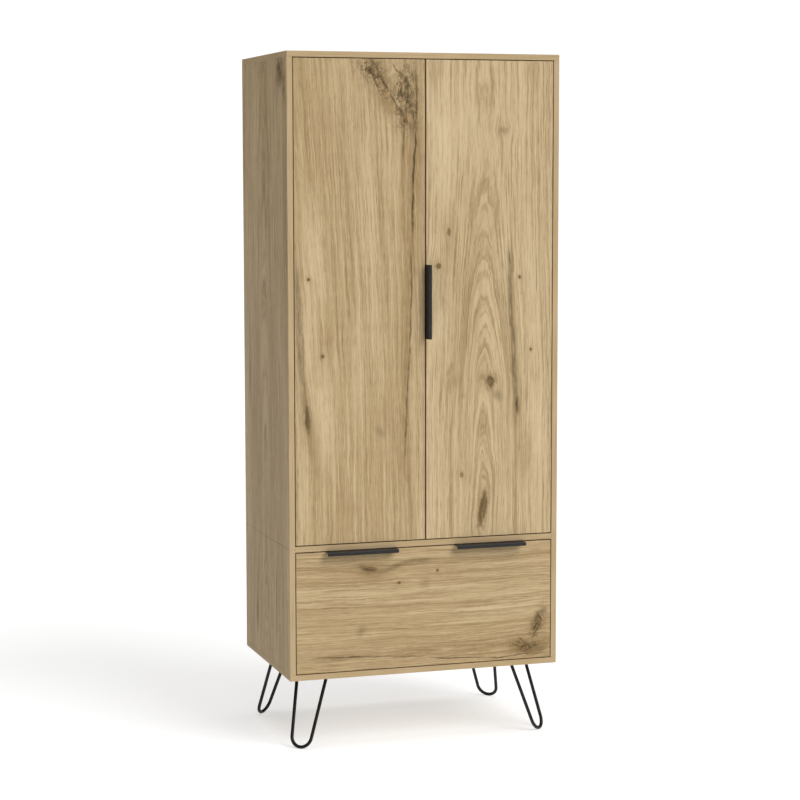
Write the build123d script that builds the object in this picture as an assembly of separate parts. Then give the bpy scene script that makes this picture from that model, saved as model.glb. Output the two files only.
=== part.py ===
"""Armoire with two doors over one wide drawer, on four hairpin legs.

Millimetres, +Z up, the front faces -Y. The origin is on the floor, under the middle of the
whole object, whose front is the front of the handles. Left-hand pieces are modelled, and the
right-hand ones are their mirror images.
"""
from build123d import *
from math import acos, atan2, cos, hypot, radians, sin, sqrt
import os

# ---- Driving dimensions ----
width = 785.0
depth = 500.0
carcass_height = 1720.0
leg_height = 200.0
board = 16.0
middle_height = 366.5          # from the carcass bottom to the middle panel's mid-plane
edge_gap = 2.5                 # round the fronts, at the sides, the top and the bottom
middle_gap = 3.0               # between the middle panel and the fronts above and below it
centre_gap = 4.0               # between the two doors
handle_reach = 25.0            # how far the handles stand out in front of the fronts
handle_length = 205.0
fit_gap = 0.05                 # play between a fastener or pin and its hole

# ---- Places worked out from them ----
front = -(depth - handle_reach) / 2
back = front + depth
floor_z = leg_height
roof_z = leg_height + carcass_height
seam_z = floor_z + middle_height
side_x = width / 2
inner_x = side_x - board       # inner face of the sides
under_z = floor_z + board      # top face of the bottom panel
ceiling_z = roof_z - board     # lower face of the top panel
middle_low = seam_z - board / 2
middle_top = seam_z + board / 2
door_low = middle_top + middle_gap
door_high = ceiling_z - edge_gap
drawer_front_top = middle_low - middle_gap
drawer_front_low = under_z + edge_gap
centre_y = front + depth / 2   # middle of the carcass, front to back

# ---- Back panels ----
back_sheet = 3.0
back_inset = 10.0              # from the rear edge of the boards to the back panel
groove_depth = 5.0
groove_play = 0.1
sheet_end_play = 0.5           # between the edge of a back panel and its groove's bottom
back_face = back - back_inset - back_sheet

# ---- Shelf and rail ----
shelf_top = ceiling_z - 280.0
shelf_front = front + 45.0
rail_drop = 53.0               # from the shelf's lower face to the rail's centre
rail_high = 30.0
rail_wide = 15.0
rail_wall = 1.2
rail_end_play = 0.1
socket_high = 66.0
socket_wide = 24.0
socket_base = 2.0
socket_rim = 10.0              # how far the rim reaches along the rail
socket_wall = 2.0
socket_play = 0.2              # between the rim and the rail
socket_screw = 26.0            # from the rail's centre to a screw
shelf_play = 0.5               # at the shelf's ends and behind it
pin_places = (40.0, 45.0)      # from the shelf's front edge, and from the back panel
pin_thick = 5.0
pin_wide = 8.0
pin_reach = 10.0
pin_in_board = 8.5

# ---- Hinges, measured from the side's inner face and the front plane ----
hinge_ends = 110.0             # from each end of the door to the nearest hinge
pivot_x = 12.5
pivot_y = 6.5
cup_x = 25.0
cup_radius = 17.5
cup_depth = 12.5
cup_wall = 0.8
cup_floor = 0.5
flange = 1.0                   # thickness of the cup's flange and ears
flange_radius = 19.3
ear_x = (3.5, 15.5)            # from the cup's axis
ear_half = 28.5
ear_corner = 4.0
cup_screw_x = 9.5              # from the cup's axis
cup_screw_spread = 22.5
cup_screw_length = 11.0
lug_level = 9.6                # from the hinge's level to the middle of a lug
lug_half = 2.4
lug_wide = 2.2
lug_floor = 0.2
pin_radius = 1.0
pin_half = 10.9
knuckle_radius = 2.0
leaf = 1.5                     # sheet thickness of the hinge arm
arm_half = 6.5
neck_from_cup = 1.0            # the neck's outer face, from the cup's axis
neck_y = 22.3                  # the neck's rear face
web_x = 13.5                   # the channel's outer face
channel_y = 24.3               # where the channel's flanges start
channel_low = 4.0
channel_half = 8.0
channel_end = 78.0
plate_y = 53.0                 # the line of the plate's two screws
plate_screw_half = 16.0
wing_y = 9.0                   # half the wings' depth
wing_half = 25.0
ridge_y = (31.0, 75.0)         # the raised block inside the channel
ridge_high = 11.9
ridge_half = 6.2
adjuster_places = (38.0, 66.0)
adjuster_radius = 2.0
adjuster_length = 8.0
adjuster_head = 4.2
adjuster_hole = 2.1
adjuster_bore = 7.9            # its depth in the raised block

# ---- Drawer ----
runner_space = 12.7
drawer_board = 12.0
drawer_low = floor_z + 32.0
drawer_high = drawer_low + 220.0
drawer_back_y = front + 462.0
bottom_sheet = 4.0
bottom_z = drawer_low + 12.0
box_x = inner_x - runner_space
runner_z = drawer_low + 68.0
runner_front = front + 18.0
runner_length = 450.0

# ---- Handles ----
sheet = 1.8
lip = 10.0
leaf_drop = 22.0
handle_gap = 0.1               # between the folded sheet and the front it hangs on
handle_bend = 2.4
handle_crease = 0.6
handle_corner = 2.0
handle_screw_drop = 12.0       # from the front's edge to the screws
handle_screw_spread = 70.0
handle_screw_length = 12.0
door_handle_z = (door_low + door_high) / 2
drawer_handle_x = 188.0

# ---- Legs ----
rod_radius = 4.75              # 3/8 inch steel rod
foot_inset = 36.0              # from the carcass edges to the lowest point of the rod
bend_radius = 31.0
splay = radians(20.0)
strand_half = 47.0             # half the distance between the strands under the plate
plate = 3.0
plate_near = 30.0              # plate outline, from the carcass corner
plate_far = 140.0
plate_blunt = 62.0
plate_corner = 5.0
leg_screw_places = ((43.0, 43.0), (128.0, 40.0), (40.0, 128.0), (88.0, 88.0))
leg_screw_radius = 2.0
leg_screw_length = plate + 12.0
leg_screw_head = 4.0
leg_screw_clearance = 2.2

# ---- Screws ----
screw_radius = 1.75
screw_length = 13.0
screw_head_radius = 3.5
screw_head = 1.8               # height of the head
small_screw_head = 1.6
screw_clearance = 1.9          # radius of the holes that the screws pass through
euro_radius = 3.1
euro_length = 11.5
euro_head_radius = 4.3
euro_head = 0.6
euro_clearance = 3.3
past_tip = 0.5                 # how much deeper a hole is than what goes into it
through = 5.0                  # length of a cutter that goes right through sheet metal

# ---- What is built ----
parts = {}                     # node name -> list of solids
cutters = {}                   # node name -> list of solids cut out of it
wide_boards = ("top_panel", "bottom_panel", "middle_panel", "drawer_front", "drawer_back")


# ---- Small tools ----
def block(x0, x1, y0, y1, z0, z1):
    """A box between two corners."""
    centre = Pos((x0 + x1) / 2, (y0 + y1) / 2, (z0 + z1) / 2)
    return centre * Box(abs(x1 - x0), abs(y1 - y0), abs(z1 - z0))


def bar(start, direction, radius, length):
    """A round bar that starts at a point and runs along a direction."""
    place = Plane(origin=start, z_dir=direction).location
    return place * Cylinder(radius, length, align=(Align.CENTER, Align.CENTER, Align.MIN))


def along(start, direction, distance):
    """The point at a distance from start along a direction."""
    return tuple(s + d * distance for s, d in zip(start, direction))


def mirrored(shapes):
    """The right-hand copies of left-hand solids."""
    return [mirror(shape, about=Plane.YZ) for shape in shapes]


def both_sides(shapes):
    return list(shapes) + mirrored(shapes)


def cut(node, *shapes):
    cutters.setdefault(node, []).extend(shapes)


def drill(node, start, direction, radius, length):
    """Cut a round hole, and its mirror image where the board spans both sides."""
    hole = bar(start, direction, radius, length)
    cut(node, hole)
    if node in wide_boards:
        cut(node, *mirrored([hole]))


def screw(start, direction, radius, length, head_radius, head_height, node=None, grip=0.0):
    """A screw whose head rests at start; its hole is drilled in the node behind grip."""
    shank = bar(start, direction, radius, length)
    head = bar(along(start, direction, -head_height), direction, head_radius, head_height)
    if node:
        hole_start = along(start, direction, grip)
        drill(node, hole_start, direction, radius + fit_gap, length - grip + past_tip)
    return head + shank


def chipboard_screw(start, direction, node, grip):
    sizes = (screw_radius, screw_length, screw_head_radius, screw_head)
    return screw(start, direction, *sizes, node, grip)


def euro_screw(start, direction, node, grip):
    sizes = (euro_radius, euro_length, euro_head_radius, euro_head)
    return screw(start, direction, *sizes, node, grip)


def near(value, target):
    return abs(value - target) < 1e-4


# ---- Carcass boards ----
def groove(x0, x1, z0, z1):
    """The slot that a back panel slides in."""
    y0 = back_face - groove_play
    return block(x0, x1, y0, y0 + back_sheet + 2 * groove_play, z0, z1)


def make_boards():
    parts["top_panel"] = [block(-side_x, side_x, front, back, ceiling_z, roof_z)]
    parts["bottom_panel"] = [block(-side_x, side_x, front, back, floor_z, under_z)]
    parts["middle_panel"] = [block(-inner_x, inner_x, front, back, middle_low, middle_top)]
    parts["upper_side_left"] = [block(-side_x, -inner_x, front, back, seam_z, ceiling_z)]
    parts["lower_side_left"] = [block(-side_x, -inner_x, front, back, under_z, seam_z)]
    slot_x = inner_x + groove_depth
    cut("top_panel", groove(-slot_x, slot_x, ceiling_z, ceiling_z + groove_depth))
    cut("bottom_panel", groove(-slot_x, slot_x, under_z - groove_depth, under_z))
    cut("middle_panel", groove(-side_x, side_x, middle_top - groove_depth, middle_top))
    cut("middle_panel", groove(-side_x, side_x, middle_low, middle_low + groove_depth))
    cut("upper_side_left", groove(-slot_x, -inner_x, seam_z, ceiling_z))
    cut("lower_side_left", groove(-slot_x, -inner_x, under_z, seam_z))
    reach = groove_depth - sheet_end_play
    sheet_x = inner_x + reach
    sheet_y = (back_face, back_face + back_sheet)
    parts["back_panel_upper"] = [
        block(-sheet_x, sheet_x, *sheet_y, middle_top - reach, ceiling_z + reach)
    ]
    parts["back_panel_lower"] = [
        block(-sheet_x, sheet_x, *sheet_y, under_z - reach, middle_low + reach)
    ]


# ---- Cam locks, bolts and dowels that join the boards ----
cam_radius = 7.5
cam_depth = 12.4
cam_slot = 8.0                 # cross in the face of a cam
cam_slot_wide = 1.4
cam_slot_deep = 1.5
cam_reach = 34.0               # from the joint to the cam's centre
cam_floor_play = 0.1
bolt_radius = 3.5
bolt_play = 0.5                # round the bolt in the side board
bolt_slot_play = 0.2           # round the bolt in the cam
thread_radius = 2.5
thread_length = 11.0
dowel_radius = 4.0
dowel_in_face = 10.0           # into the face of the top or bottom panel
dowel_in_end = 20.0            # into the end of a side board
cam_places = (70.0, 430.0)     # distances behind the front
dowel_places = (120.0, 380.0)
seam_dowels = (60.0, 250.0, 440.0)


def cam_joint(side, cap, y, joint_z, up):
    """One cam in a side board and its bolt into the cap board above or below."""
    mid_x = -(inner_x + board / 2)
    centre_z = joint_z - up * cam_reach
    lock = bar((-inner_x, y, centre_z), (-1, 0, 0), cam_radius - fit_gap, cam_depth)
    lock -= bar((mid_x, y, centre_z), (0, 0, up), bolt_radius + bolt_slot_play, cam_radius)
    for size_y, size_z in ((cam_slot, cam_slot_wide), (cam_slot_wide, cam_slot)):
        lock -= Pos(-inner_x, y, centre_z) * Box(2 * cam_slot_deep, size_y, size_z)
    drill(side, (-inner_x, y, centre_z), (-1, 0, 0), cam_radius, cam_depth + cam_floor_play)
    drill(side, (mid_x, y, joint_z), (0, 0, -up), bolt_radius + bolt_play, cam_reach)
    thread_hole = thread_length + past_tip
    drill(cap, (mid_x, y, joint_z), (0, 0, up), thread_radius + fit_gap, thread_hole)
    bolt = bar((mid_x, y, joint_z), (0, 0, up), thread_radius, thread_length)
    bolt += bar((mid_x, y, joint_z), (0, 0, -up), bolt_radius, cam_reach - 1.0)
    return lock, bolt


def dowel(lower, upper, y, joint_z, into_lower, into_upper):
    """A vertical dowel across a joint."""
    mid_x = -(inner_x + board / 2)
    hole = dowel_radius + fit_gap
    drill(lower, (mid_x, y, joint_z), (0, 0, -1), hole, into_lower + past_tip)
    drill(upper, (mid_x, y, joint_z), (0, 0, 1), hole, into_upper + past_tip)
    start = (mid_x, y, joint_z - into_lower)
    return bar(start, (0, 0, 1), dowel_radius, into_lower + into_upper)


def make_joints():
    locks = []
    bolts = []
    dowels = []
    upper = ("upper_side_left", "top_panel", ceiling_z, 1)
    lower = ("lower_side_left", "bottom_panel", under_z, -1)
    for side, cap, joint_z, up in (upper, lower):
        for place in cam_places:
            lock, bolt = cam_joint(side, cap, front + place, joint_z, up)
            locks.append(lock)
            bolts.append(bolt)
    for place in dowel_places:
        y = front + place
        above = ("upper_side_left", "top_panel", y, ceiling_z, dowel_in_end, dowel_in_face)
        below = ("bottom_panel", "lower_side_left", y, under_z, dowel_in_face, dowel_in_end)
        dowels += [dowel(*above), dowel(*below)]
    for place in seam_dowels:
        seam = ("lower_side_left", "upper_side_left", front + place, seam_z)
        dowels.append(dowel(*seam, dowel_in_end, dowel_in_end))
    parts["cam_locks"] = both_sides(locks)
    parts["cam_bolts"] = both_sides(bolts)
    parts["dowels"] = both_sides(dowels)


# ---- Angle brackets ----
bracket_leg = 30.0
bracket_width = 20.0
bracket_sheet = 2.0
bracket_screw = 20.0           # from the corner to the screw
bracket_places = (150.0, 400.0)
wall_bracket_x = 250.0
wall_hole_radius = 3.0
wall_hole_drop = 20.0


def corner_bracket(y, level, up):
    """An angle between a side and the middle panel, above it (up 1) or below it (up -1)."""
    side = "upper_side_left" if up > 0 else "lower_side_left"
    y0 = y - bracket_width / 2
    y1 = y + bracket_width / 2
    angle = block(-inner_x, -inner_x + bracket_sheet, y0, y1, level, level + up * bracket_leg)
    angle += block(-inner_x, -inner_x + bracket_leg, y0, y1, level, level + up * bracket_sheet)
    on_side = (-inner_x + bracket_sheet, y, level + up * bracket_screw)
    on_panel = (-inner_x + bracket_screw, y, level + up * bracket_sheet)
    angle -= bar(on_side, (-1, 0, 0), screw_clearance, through)
    angle -= bar(on_panel, (0, 0, -up), screw_clearance, through)
    side_screw = chipboard_screw(on_side, (-1, 0, 0), side, bracket_sheet)
    panel_screw = chipboard_screw(on_panel, (0, 0, -up), "middle_panel", bracket_sheet)
    return angle, [side_screw, panel_screw]


def wall_bracket():
    """An angle under the top panel, with the hole for the wall fixing through the back."""
    x0 = -wall_bracket_x - bracket_leg / 2
    x1 = x0 + bracket_leg
    rear = back_face
    angle = block(x0, x1, rear - bracket_leg, rear, ceiling_z - bracket_sheet, ceiling_z)
    angle += block(x0, x1, rear - bracket_sheet, rear, ceiling_z - bracket_leg, ceiling_z)
    hole_start = (-wall_bracket_x, rear - through, ceiling_z - wall_hole_drop)
    fixing = bar(hole_start, (0, 1, 0), wall_hole_radius, 3 * through)
    angle -= fixing
    cut("back_panel_upper", *both_sides([fixing]))
    head = (-wall_bracket_x, rear - bracket_screw, ceiling_z - bracket_sheet)
    angle -= bar(head, (0, 0, 1), screw_clearance, through)
    return angle, chipboard_screw(head, (0, 0, 1), "top_panel", bracket_sheet)


# ---- Hat shelf and hanging rail ----
def oval(high, wide, x0, x1, y, z):
    """An upright oval prism that runs from x0 to x1."""
    outline = Plane.YZ * SlotOverall(high, wide, rotation=90)
    return Pos(x0, y, z) * extrude(outline, amount=x1 - x0)


def make_shelf_and_rail():
    shelf_low = shelf_top - board
    shelf_x = inner_x - shelf_play
    shelf_back = back_face - shelf_play
    parts["hat_shelf"] = [block(-shelf_x, shelf_x, shelf_front, shelf_back, shelf_low, shelf_top)]
    pins = []
    pin_top = shelf_low - fit_gap
    pin_z = pin_top - pin_thick / 2
    for y in (shelf_front + pin_places[0], back_face - pin_places[1]):
        pin = bar((-inner_x, y, pin_z), (-1, 0, 0), pin_thick / 2, pin_in_board)
        tongue_y = (y - pin_wide / 2, y + pin_wide / 2)
        pin += block(-inner_x, -inner_x + pin_reach, *tongue_y, pin_top - pin_thick, pin_top)
        hole_radius = pin_thick / 2 + fit_gap
        drill("upper_side_left", (-inner_x, y, pin_z), (-1, 0, 0), hole_radius, pin_in_board + past_tip)
        pins.append(pin)
    parts["shelf_pins"] = both_sides(pins)

    rail_z = shelf_low - rail_drop
    start = -inner_x + socket_base + rail_end_play
    bore_high = rail_high - 2 * rail_wall
    bore_wide = rail_wide - 2 * rail_wall
    tube = oval(rail_high, rail_wide, start, -start, centre_y, rail_z)
    tube -= oval(bore_high, bore_wide, start - 1, 1 - start, centre_y, rail_z)
    parts["hanging_rail"] = [tube]
    base_end = -inner_x + socket_base
    rim_end = base_end + socket_rim
    inside = 2 * socket_play
    outside = inside + 2 * socket_wall
    socket = oval(socket_high, socket_wide, -inner_x, base_end, centre_y, rail_z)
    socket += oval(rail_high + outside, rail_wide + outside, -inner_x, rim_end, centre_y, rail_z)
    socket -= oval(rail_high + inside, rail_wide + inside, base_end, rim_end + 1, centre_y, rail_z)
    screws = []
    for z in (rail_z - socket_screw, rail_z + socket_screw):
        head = (base_end, centre_y, z)
        socket -= bar(head, (-1, 0, 0), screw_clearance, through)
        screws.append(chipboard_screw(head, (-1, 0, 0), "upper_side_left", socket_base))
    parts["rail_sockets"] = both_sides([socket])
    return screws


# ---- Hinges ----
hinge_levels = (door_low + hinge_ends, (door_low + door_high) / 2, door_high - hinge_ends)
hinge_names = ("low", "middle", "high")


def hinge_block(x0, x1, y0, y1, z, half):
    """A box in the left hinge's own measures, centred on its level."""
    return block(x0 - inner_x, x1 - inner_x, y0 + front, y1 + front, z - half, z + half)


def hinge_point(x, y, z):
    return (x - inner_x, y + front, z)


def hinge_arm(z):
    """Knuckle, the strip on the cup's floor, the neck over the door's edge, and the channel."""
    neck_x = cup_x + neck_from_cup
    strip_y = pivot_y - knuckle_radius
    web = (web_x - leaf, web_x)
    arm = bar(hinge_point(pivot_x, pivot_y, z - arm_half), (0, 0, 1), knuckle_radius, 2 * arm_half)
    arm += hinge_block(pivot_x, neck_x, strip_y, strip_y + leaf, z, arm_half)
    arm += hinge_block(neck_x - leaf, neck_x, strip_y, neck_y, z, arm_half)
    arm += hinge_block(web[0], neck_x, neck_y - leaf, neck_y, z, arm_half)
    arm += hinge_block(*web, neck_y - leaf, channel_end, z, channel_half)
    flanges = hinge_block(channel_low, web_x, channel_y, channel_end, z, channel_half)
    flanges -= hinge_block(0.0, web[0], 0.0, channel_end + 1, z, channel_half - leaf)
    arm += flanges
    hole_start = hinge_point(pivot_x, pivot_y, z - 2 * arm_half)
    arm -= bar(hole_start, (0, 0, 1), pin_radius + fit_gap, 4 * arm_half)
    for y in adjuster_places:
        arm -= bar(hinge_point(web_x + 1, y, z), (-1, 0, 0), adjuster_hole, 2 * leaf + 1)
    return arm


def hinge_plate(z):
    """The plate on the side board: two wings, and the raised block inside the arm's channel."""
    base = hinge_block(0.0, leaf, plate_y - wing_y, plate_y + wing_y, z, wing_half)
    base += hinge_block(0.0, ridge_high, *ridge_y, z, ridge_half)
    for y in adjuster_places:
        base -= bar(hinge_point(ridge_high, y, z), (-1, 0, 0), adjuster_hole, adjuster_bore)
    screws = []
    for offset in (-plate_screw_half, plate_screw_half):
        head = hinge_point(leaf, plate_y, z + offset)
        base -= bar(along(head, (1, 0, 0), leaf), (-1, 0, 0), euro_clearance, through)
        screws.append(euro_screw(head, (-1, 0, 0), "upper_side_left", leaf))
    return base, screws


def hinge_adjuster(y, z):
    sizes = (adjuster_radius, adjuster_length, adjuster_head, small_screw_head)
    return screw(hinge_point(web_x, y, z), (-1, 0, 0), *sizes)


def hinge_cup(z):
    """The pressed cup with its flange and the two lugs that hold the pin."""
    inward = (0, 1, 0)
    floor_y = board - cup_depth
    bottom = hinge_point(cup_x, floor_y + fit_gap, z)
    shell = bar(bottom, inward, cup_radius - fit_gap, cup_depth - fit_gap)
    ring = bar(hinge_point(cup_x, board, z), inward, flange_radius, flange)
    ears_x = (cup_x + ear_x[0], cup_x + ear_x[1])
    ears = hinge_block(*ears_x, board, board + flange, z, ear_half)
    ears = fillet(ears.edges().filter_by(Axis.Y), ear_corner)
    inside = hinge_point(cup_x, floor_y + fit_gap + cup_floor, z)
    hollow = bar(inside, inward, cup_radius - cup_wall, cup_depth + through)
    cup = shell + ring + ears - hollow
    lug_x = (pivot_x - lug_wide, pivot_x + lug_wide)
    lug_y = (floor_y + lug_floor, pivot_y + lug_wide)
    for up in (-1, 1):
        cup += hinge_block(*lug_x, *lug_y, z + up * lug_level, lug_half) & shell
    pin_hole = hinge_point(pivot_x, pivot_y, z - pin_half - fit_gap)
    cup -= bar(pin_hole, (0, 0, 1), pin_radius + fit_gap, 2 * (pin_half + fit_gap))
    sizes = (screw_radius, cup_screw_length, screw_head_radius, small_screw_head)
    screws = []
    for offset in (-cup_screw_spread, cup_screw_spread):
        head = hinge_point(cup_x + cup_screw_x, board + flange, z + offset)
        cup -= bar(along(head, inward, flange), (0, -1, 0), screw_clearance, 3 * flange)
        screws.append(screw(head, (0, -1, 0), *sizes, "door_left", flange))
    drill("door_left", hinge_point(cup_x, board, z), (0, -1, 0), cup_radius, cup_depth)
    return cup, screws


def hinge_pin(z):
    start = hinge_point(pivot_x, pivot_y, z - pin_half)
    return bar(start, (0, 0, 1), pin_radius, 2 * pin_half)


def make_hinges():
    plates = []
    adjusters = []
    plate_screws = []
    cups = []
    cup_screws = []
    pins = []
    for name, z in zip(hinge_names, hinge_levels):
        arm = hinge_arm(z)
        parts["hinge_arm_left_" + name] = [arm]
        parts["hinge_arm_right_" + name] = mirrored([arm])
        plate_solid, screws = hinge_plate(z)
        plates.append(plate_solid)
        plate_screws += screws
        adjusters += [hinge_adjuster(y, z) for y in adjuster_places]
        cup, screws = hinge_cup(z)
        cups.append(cup)
        cup_screws += screws
        pins.append(hinge_pin(z))
    parts["hinge_plates"] = both_sides(plates)
    parts["hinge_adjusters"] = both_sides(adjusters)
    groups = (("hinge_cups", cups), ("hinge_cup_screws", cup_screws), ("hinge_pins", pins))
    for node, solids in groups:
        parts[node + "_left"] = solids
        parts[node + "_right"] = mirrored(solids)
    return plate_screws


# ---- Doors and handles ----
def fold_profile(edge):
    """Section of the folded pull: rear leaf, flange over a front's edge, and lip.

    The first measure runs away from the edge over the front, the second runs front to back.
    """
    outer = edge - handle_gap - sheet
    rear = front + board + handle_gap + sheet
    nose = front - handle_reach
    points = [
        (outer, nose), (outer + lip, nose),
        (outer + lip, nose + sheet), (outer + sheet, nose + sheet),
        (outer + sheet, rear - sheet), (edge + leaf_drop, rear - sheet),
        (edge + leaf_drop, rear), (outer, rear),
    ]
    face = make_face(Polyline(*points, close=True))
    bends = ((points[0], handle_bend), (points[3], handle_crease), (points[7], handle_bend))
    for corner, radius in bends:
        vertices = [v for v in face.vertices() if near(v.X, corner[0]) and near(v.Y, corner[1])]
        face = fillet(vertices, radius)
    return face


def handle_solid(edge):
    """The pull standing upright: its length along Z, its ends' lip corners rounded."""
    pull = extrude(fold_profile(edge), amount=handle_length / 2, both=True)
    tip = edge - handle_gap - sheet + lip
    corners = [
        e for e in pull.edges().filter_by(Axis.Y)
        if near(e.center().X, tip) and near(abs(e.center().Z), handle_length / 2)
    ]
    return fillet(corners, handle_corner)


def handle_screw_starts(edge):
    """Heads of the two screws, on the rear leaf of the upright pull."""
    rear = front + board + handle_gap + sheet
    drop = edge + handle_screw_drop
    return [(drop, rear, offset) for offset in (-handle_screw_spread, handle_screw_spread)]


def upright_handle(edge):
    """The pull with its screw holes, and its two screws."""
    pull = handle_solid(edge)
    sizes = (screw_radius, handle_screw_length, screw_head_radius, small_screw_head)
    screws = []
    for start in handle_screw_starts(edge):
        pull -= bar(along(start, (0, 1, 0), 1.0), (0, -1, 0), screw_clearance, through)
        screws.append(screw(start, (0, -1, 0), *sizes))
    return pull, screws


def handle_bores(edge):
    """The pilot holes that the pull's screws need in the front."""
    bore_depth = handle_screw_length - sheet + past_tip
    return [
        bar(along(start, (0, -1, 0), sheet), (0, -1, 0), screw_radius + fit_gap, bore_depth)
        for start in handle_screw_starts(edge)
    ]


def make_doors():
    door_edge = -inner_x + edge_gap
    parts["door_left"] = [block(door_edge, -centre_gap / 2, front, front + board, door_low, door_high)]
    pull, screws = upright_handle(centre_gap / 2)
    level = Pos(0, 0, door_handle_z)
    parts["door_handle"] = [level * pull]
    parts["door_handle_screws"] = [level * s for s in screws]
    cut("door_right", *[level * bore for bore in handle_bores(centre_gap / 2)])


def make_drawer_handles():
    """The upright pull turned about Y, so that it hangs over the drawer front's top edge."""
    pull, screws = upright_handle(0.0)
    names = ("drawer_handle_left", "drawer_handle_right")
    all_screws = []
    for name, x in zip(names, (-drawer_handle_x, drawer_handle_x)):
        place = Pos(x, 0, drawer_front_top) * Rot(0, 90, 0)
        parts[name] = [place * pull]
        all_screws += [place * s for s in screws]
        cut("drawer_front", *[place * bore for bore in handle_bores(0.0)])
    parts["drawer_handle_screws"] = all_screws


# ---- Drawer box ----
small_cam_radius = 6.0
small_cam_depth = 9.5
small_cam_reach = 24.0
small_bolt_radius = 2.5
small_bore_radius = 2.8
front_thread = 11.0            # of a bolt into the drawer front
side_thread = 8.0              # of a bolt into a drawer side
drawer_joint_levels = (drawer_low + 58.0, drawer_high - 32.0)
slot_depth = 5.5
sheet_in_slot = 5.0
bottom_play = 0.1
bottom_short = 1.0             # from the drawer's rear end to the bottom's rear edge


def small_cam(centre, face, towards, cam_node, bolt_node, thread):
    """A small cam in a 12 mm board, and its bolt into the board beside it.

    centre lies on the board's face, face points into the board, towards points to the joint.
    """
    lock = bar(centre, face, small_cam_radius - fit_gap, small_cam_depth)
    axis_point = along(centre, face, drawer_board / 2)
    lock -= bar(axis_point, towards, small_bore_radius, small_cam_radius)
    joint = along(axis_point, towards, small_cam_reach)
    backwards = tuple(-t for t in towards)
    bolt = bar(joint, backwards, small_bolt_radius, small_cam_reach - 1.0)
    bolt += bar(joint, towards, small_bolt_radius, thread)
    drill(cam_node, centre, face, small_cam_radius, small_cam_depth + cam_floor_play)
    drill(cam_node, joint, backwards, small_bore_radius, small_cam_reach)
    drill(bolt_node, joint, towards, small_bolt_radius + fit_gap, thread + past_tip)
    return [lock, bolt]


def make_drawer_box():
    front_x = inner_x - edge_gap
    inside_x = box_x - drawer_board
    behind = front + board
    back_y = drawer_back_y - drawer_board
    sheet_top = bottom_z + bottom_sheet
    parts["drawer_front"] = [
        block(-front_x, front_x, front, behind, drawer_front_low, drawer_front_top)
    ]
    parts["drawer_side_left"] = [
        block(-box_x, -inside_x, behind, drawer_back_y, drawer_low, drawer_high)
    ]
    parts["drawer_back"] = [
        block(-inside_x, inside_x, back_y, drawer_back_y, sheet_top + bottom_play, drawer_high)
    ]
    sheet_x = inside_x + sheet_in_slot
    sheet_y = (behind - sheet_in_slot, drawer_back_y - bottom_short)
    parts["drawer_bottom"] = [block(-sheet_x, sheet_x, *sheet_y, bottom_z, sheet_top)]
    slot_z = (bottom_z - bottom_play, sheet_top + bottom_play)
    slot_x = inside_x + slot_depth
    cut("drawer_side_left", block(-slot_x, -inside_x, behind, drawer_back_y, *slot_z))
    cut("drawer_front", block(-slot_x, slot_x, behind - slot_depth, behind, *slot_z))
    fittings = []
    side = "drawer_side_left"
    for z in drawer_joint_levels:
        at_front = (-inside_x, behind + small_cam_reach, z)
        at_back = (-inside_x + small_cam_reach, back_y, z)
        to_front = (side, "drawer_front", front_thread)
        to_side = ("drawer_back", side, side_thread)
        fittings += small_cam(at_front, (-1, 0, 0), (0, -1, 0), *to_front)
        fittings += small_cam(at_back, (0, 1, 0), (-1, 0, 0), *to_side)
    parts["drawer_cam_fittings"] = both_sides(fittings)


# ---- Telescopic runners, measured from the side's inner face ----
runner_sheet = 1.2
outer_reach = 10.0
outer_half = 22.5
return_low = 18.8              # the rolled edges of the cabinet member
return_high = 22.0
middle_reach = (2.2, 9.5)
middle_half = 18.2
drawer_member_start = 4.6
drawer_member_half = 14.0
middle_ends = (2.0, 18.0)      # how much shorter than the cabinet member, front and back
drawer_ends = (-1.0, 8.0)
cabinet_screws = (35.0, 227.0, 419.0)
drawer_screw_places = (65.0, 240.0, 405.0)
drawer_screw_length = 10.5
drawer_screw_head = (3.4, 0.9)
ball_count = 10
cage_half = 0.5
outer_cage = (19.75, 4.0, 8.0, 260.0, 420.0, 1.2)    # level, two reaches, two depths, ball
inner_cage = (15.5, 5.5, 8.5, 60.0, 220.0, 1.15)


def channel(u0, u1, half, thickness, opens_inward, y0, y1):
    """A C-shaped runner member between u0 and u1 from the side's inner face."""
    x0 = u0 - inner_x
    x1 = u1 - inner_x
    member = block(x0, x1, y0, y1, runner_z - half, runner_z + half)
    inside = (x0 + thickness, x1 + 1) if opens_inward else (x0 - 1, x1 - thickness)
    clear = half - thickness
    return member - block(*inside, y0 - 1, y1 + 1, runner_z - clear, runner_z + clear)


def ball_cage(up, offset, u0, u1, y0, y1, ball_radius):
    """A thin strip with a row of balls, above (up 1) or below (up -1) the runner's middle."""
    level = runner_z + up * offset
    cage_y = (front + y0, front + y1)
    strip = block(u0 - inner_x, u1 - inner_x, *cage_y, level - cage_half, level + cage_half)
    pitch = (y1 - y0) / ball_count
    for i in range(ball_count):
        centre = Pos((u0 + u1) / 2 - inner_x, cage_y[0] + pitch * (i + 0.5), level)
        strip += centre * Sphere(ball_radius)
    return strip


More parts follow.
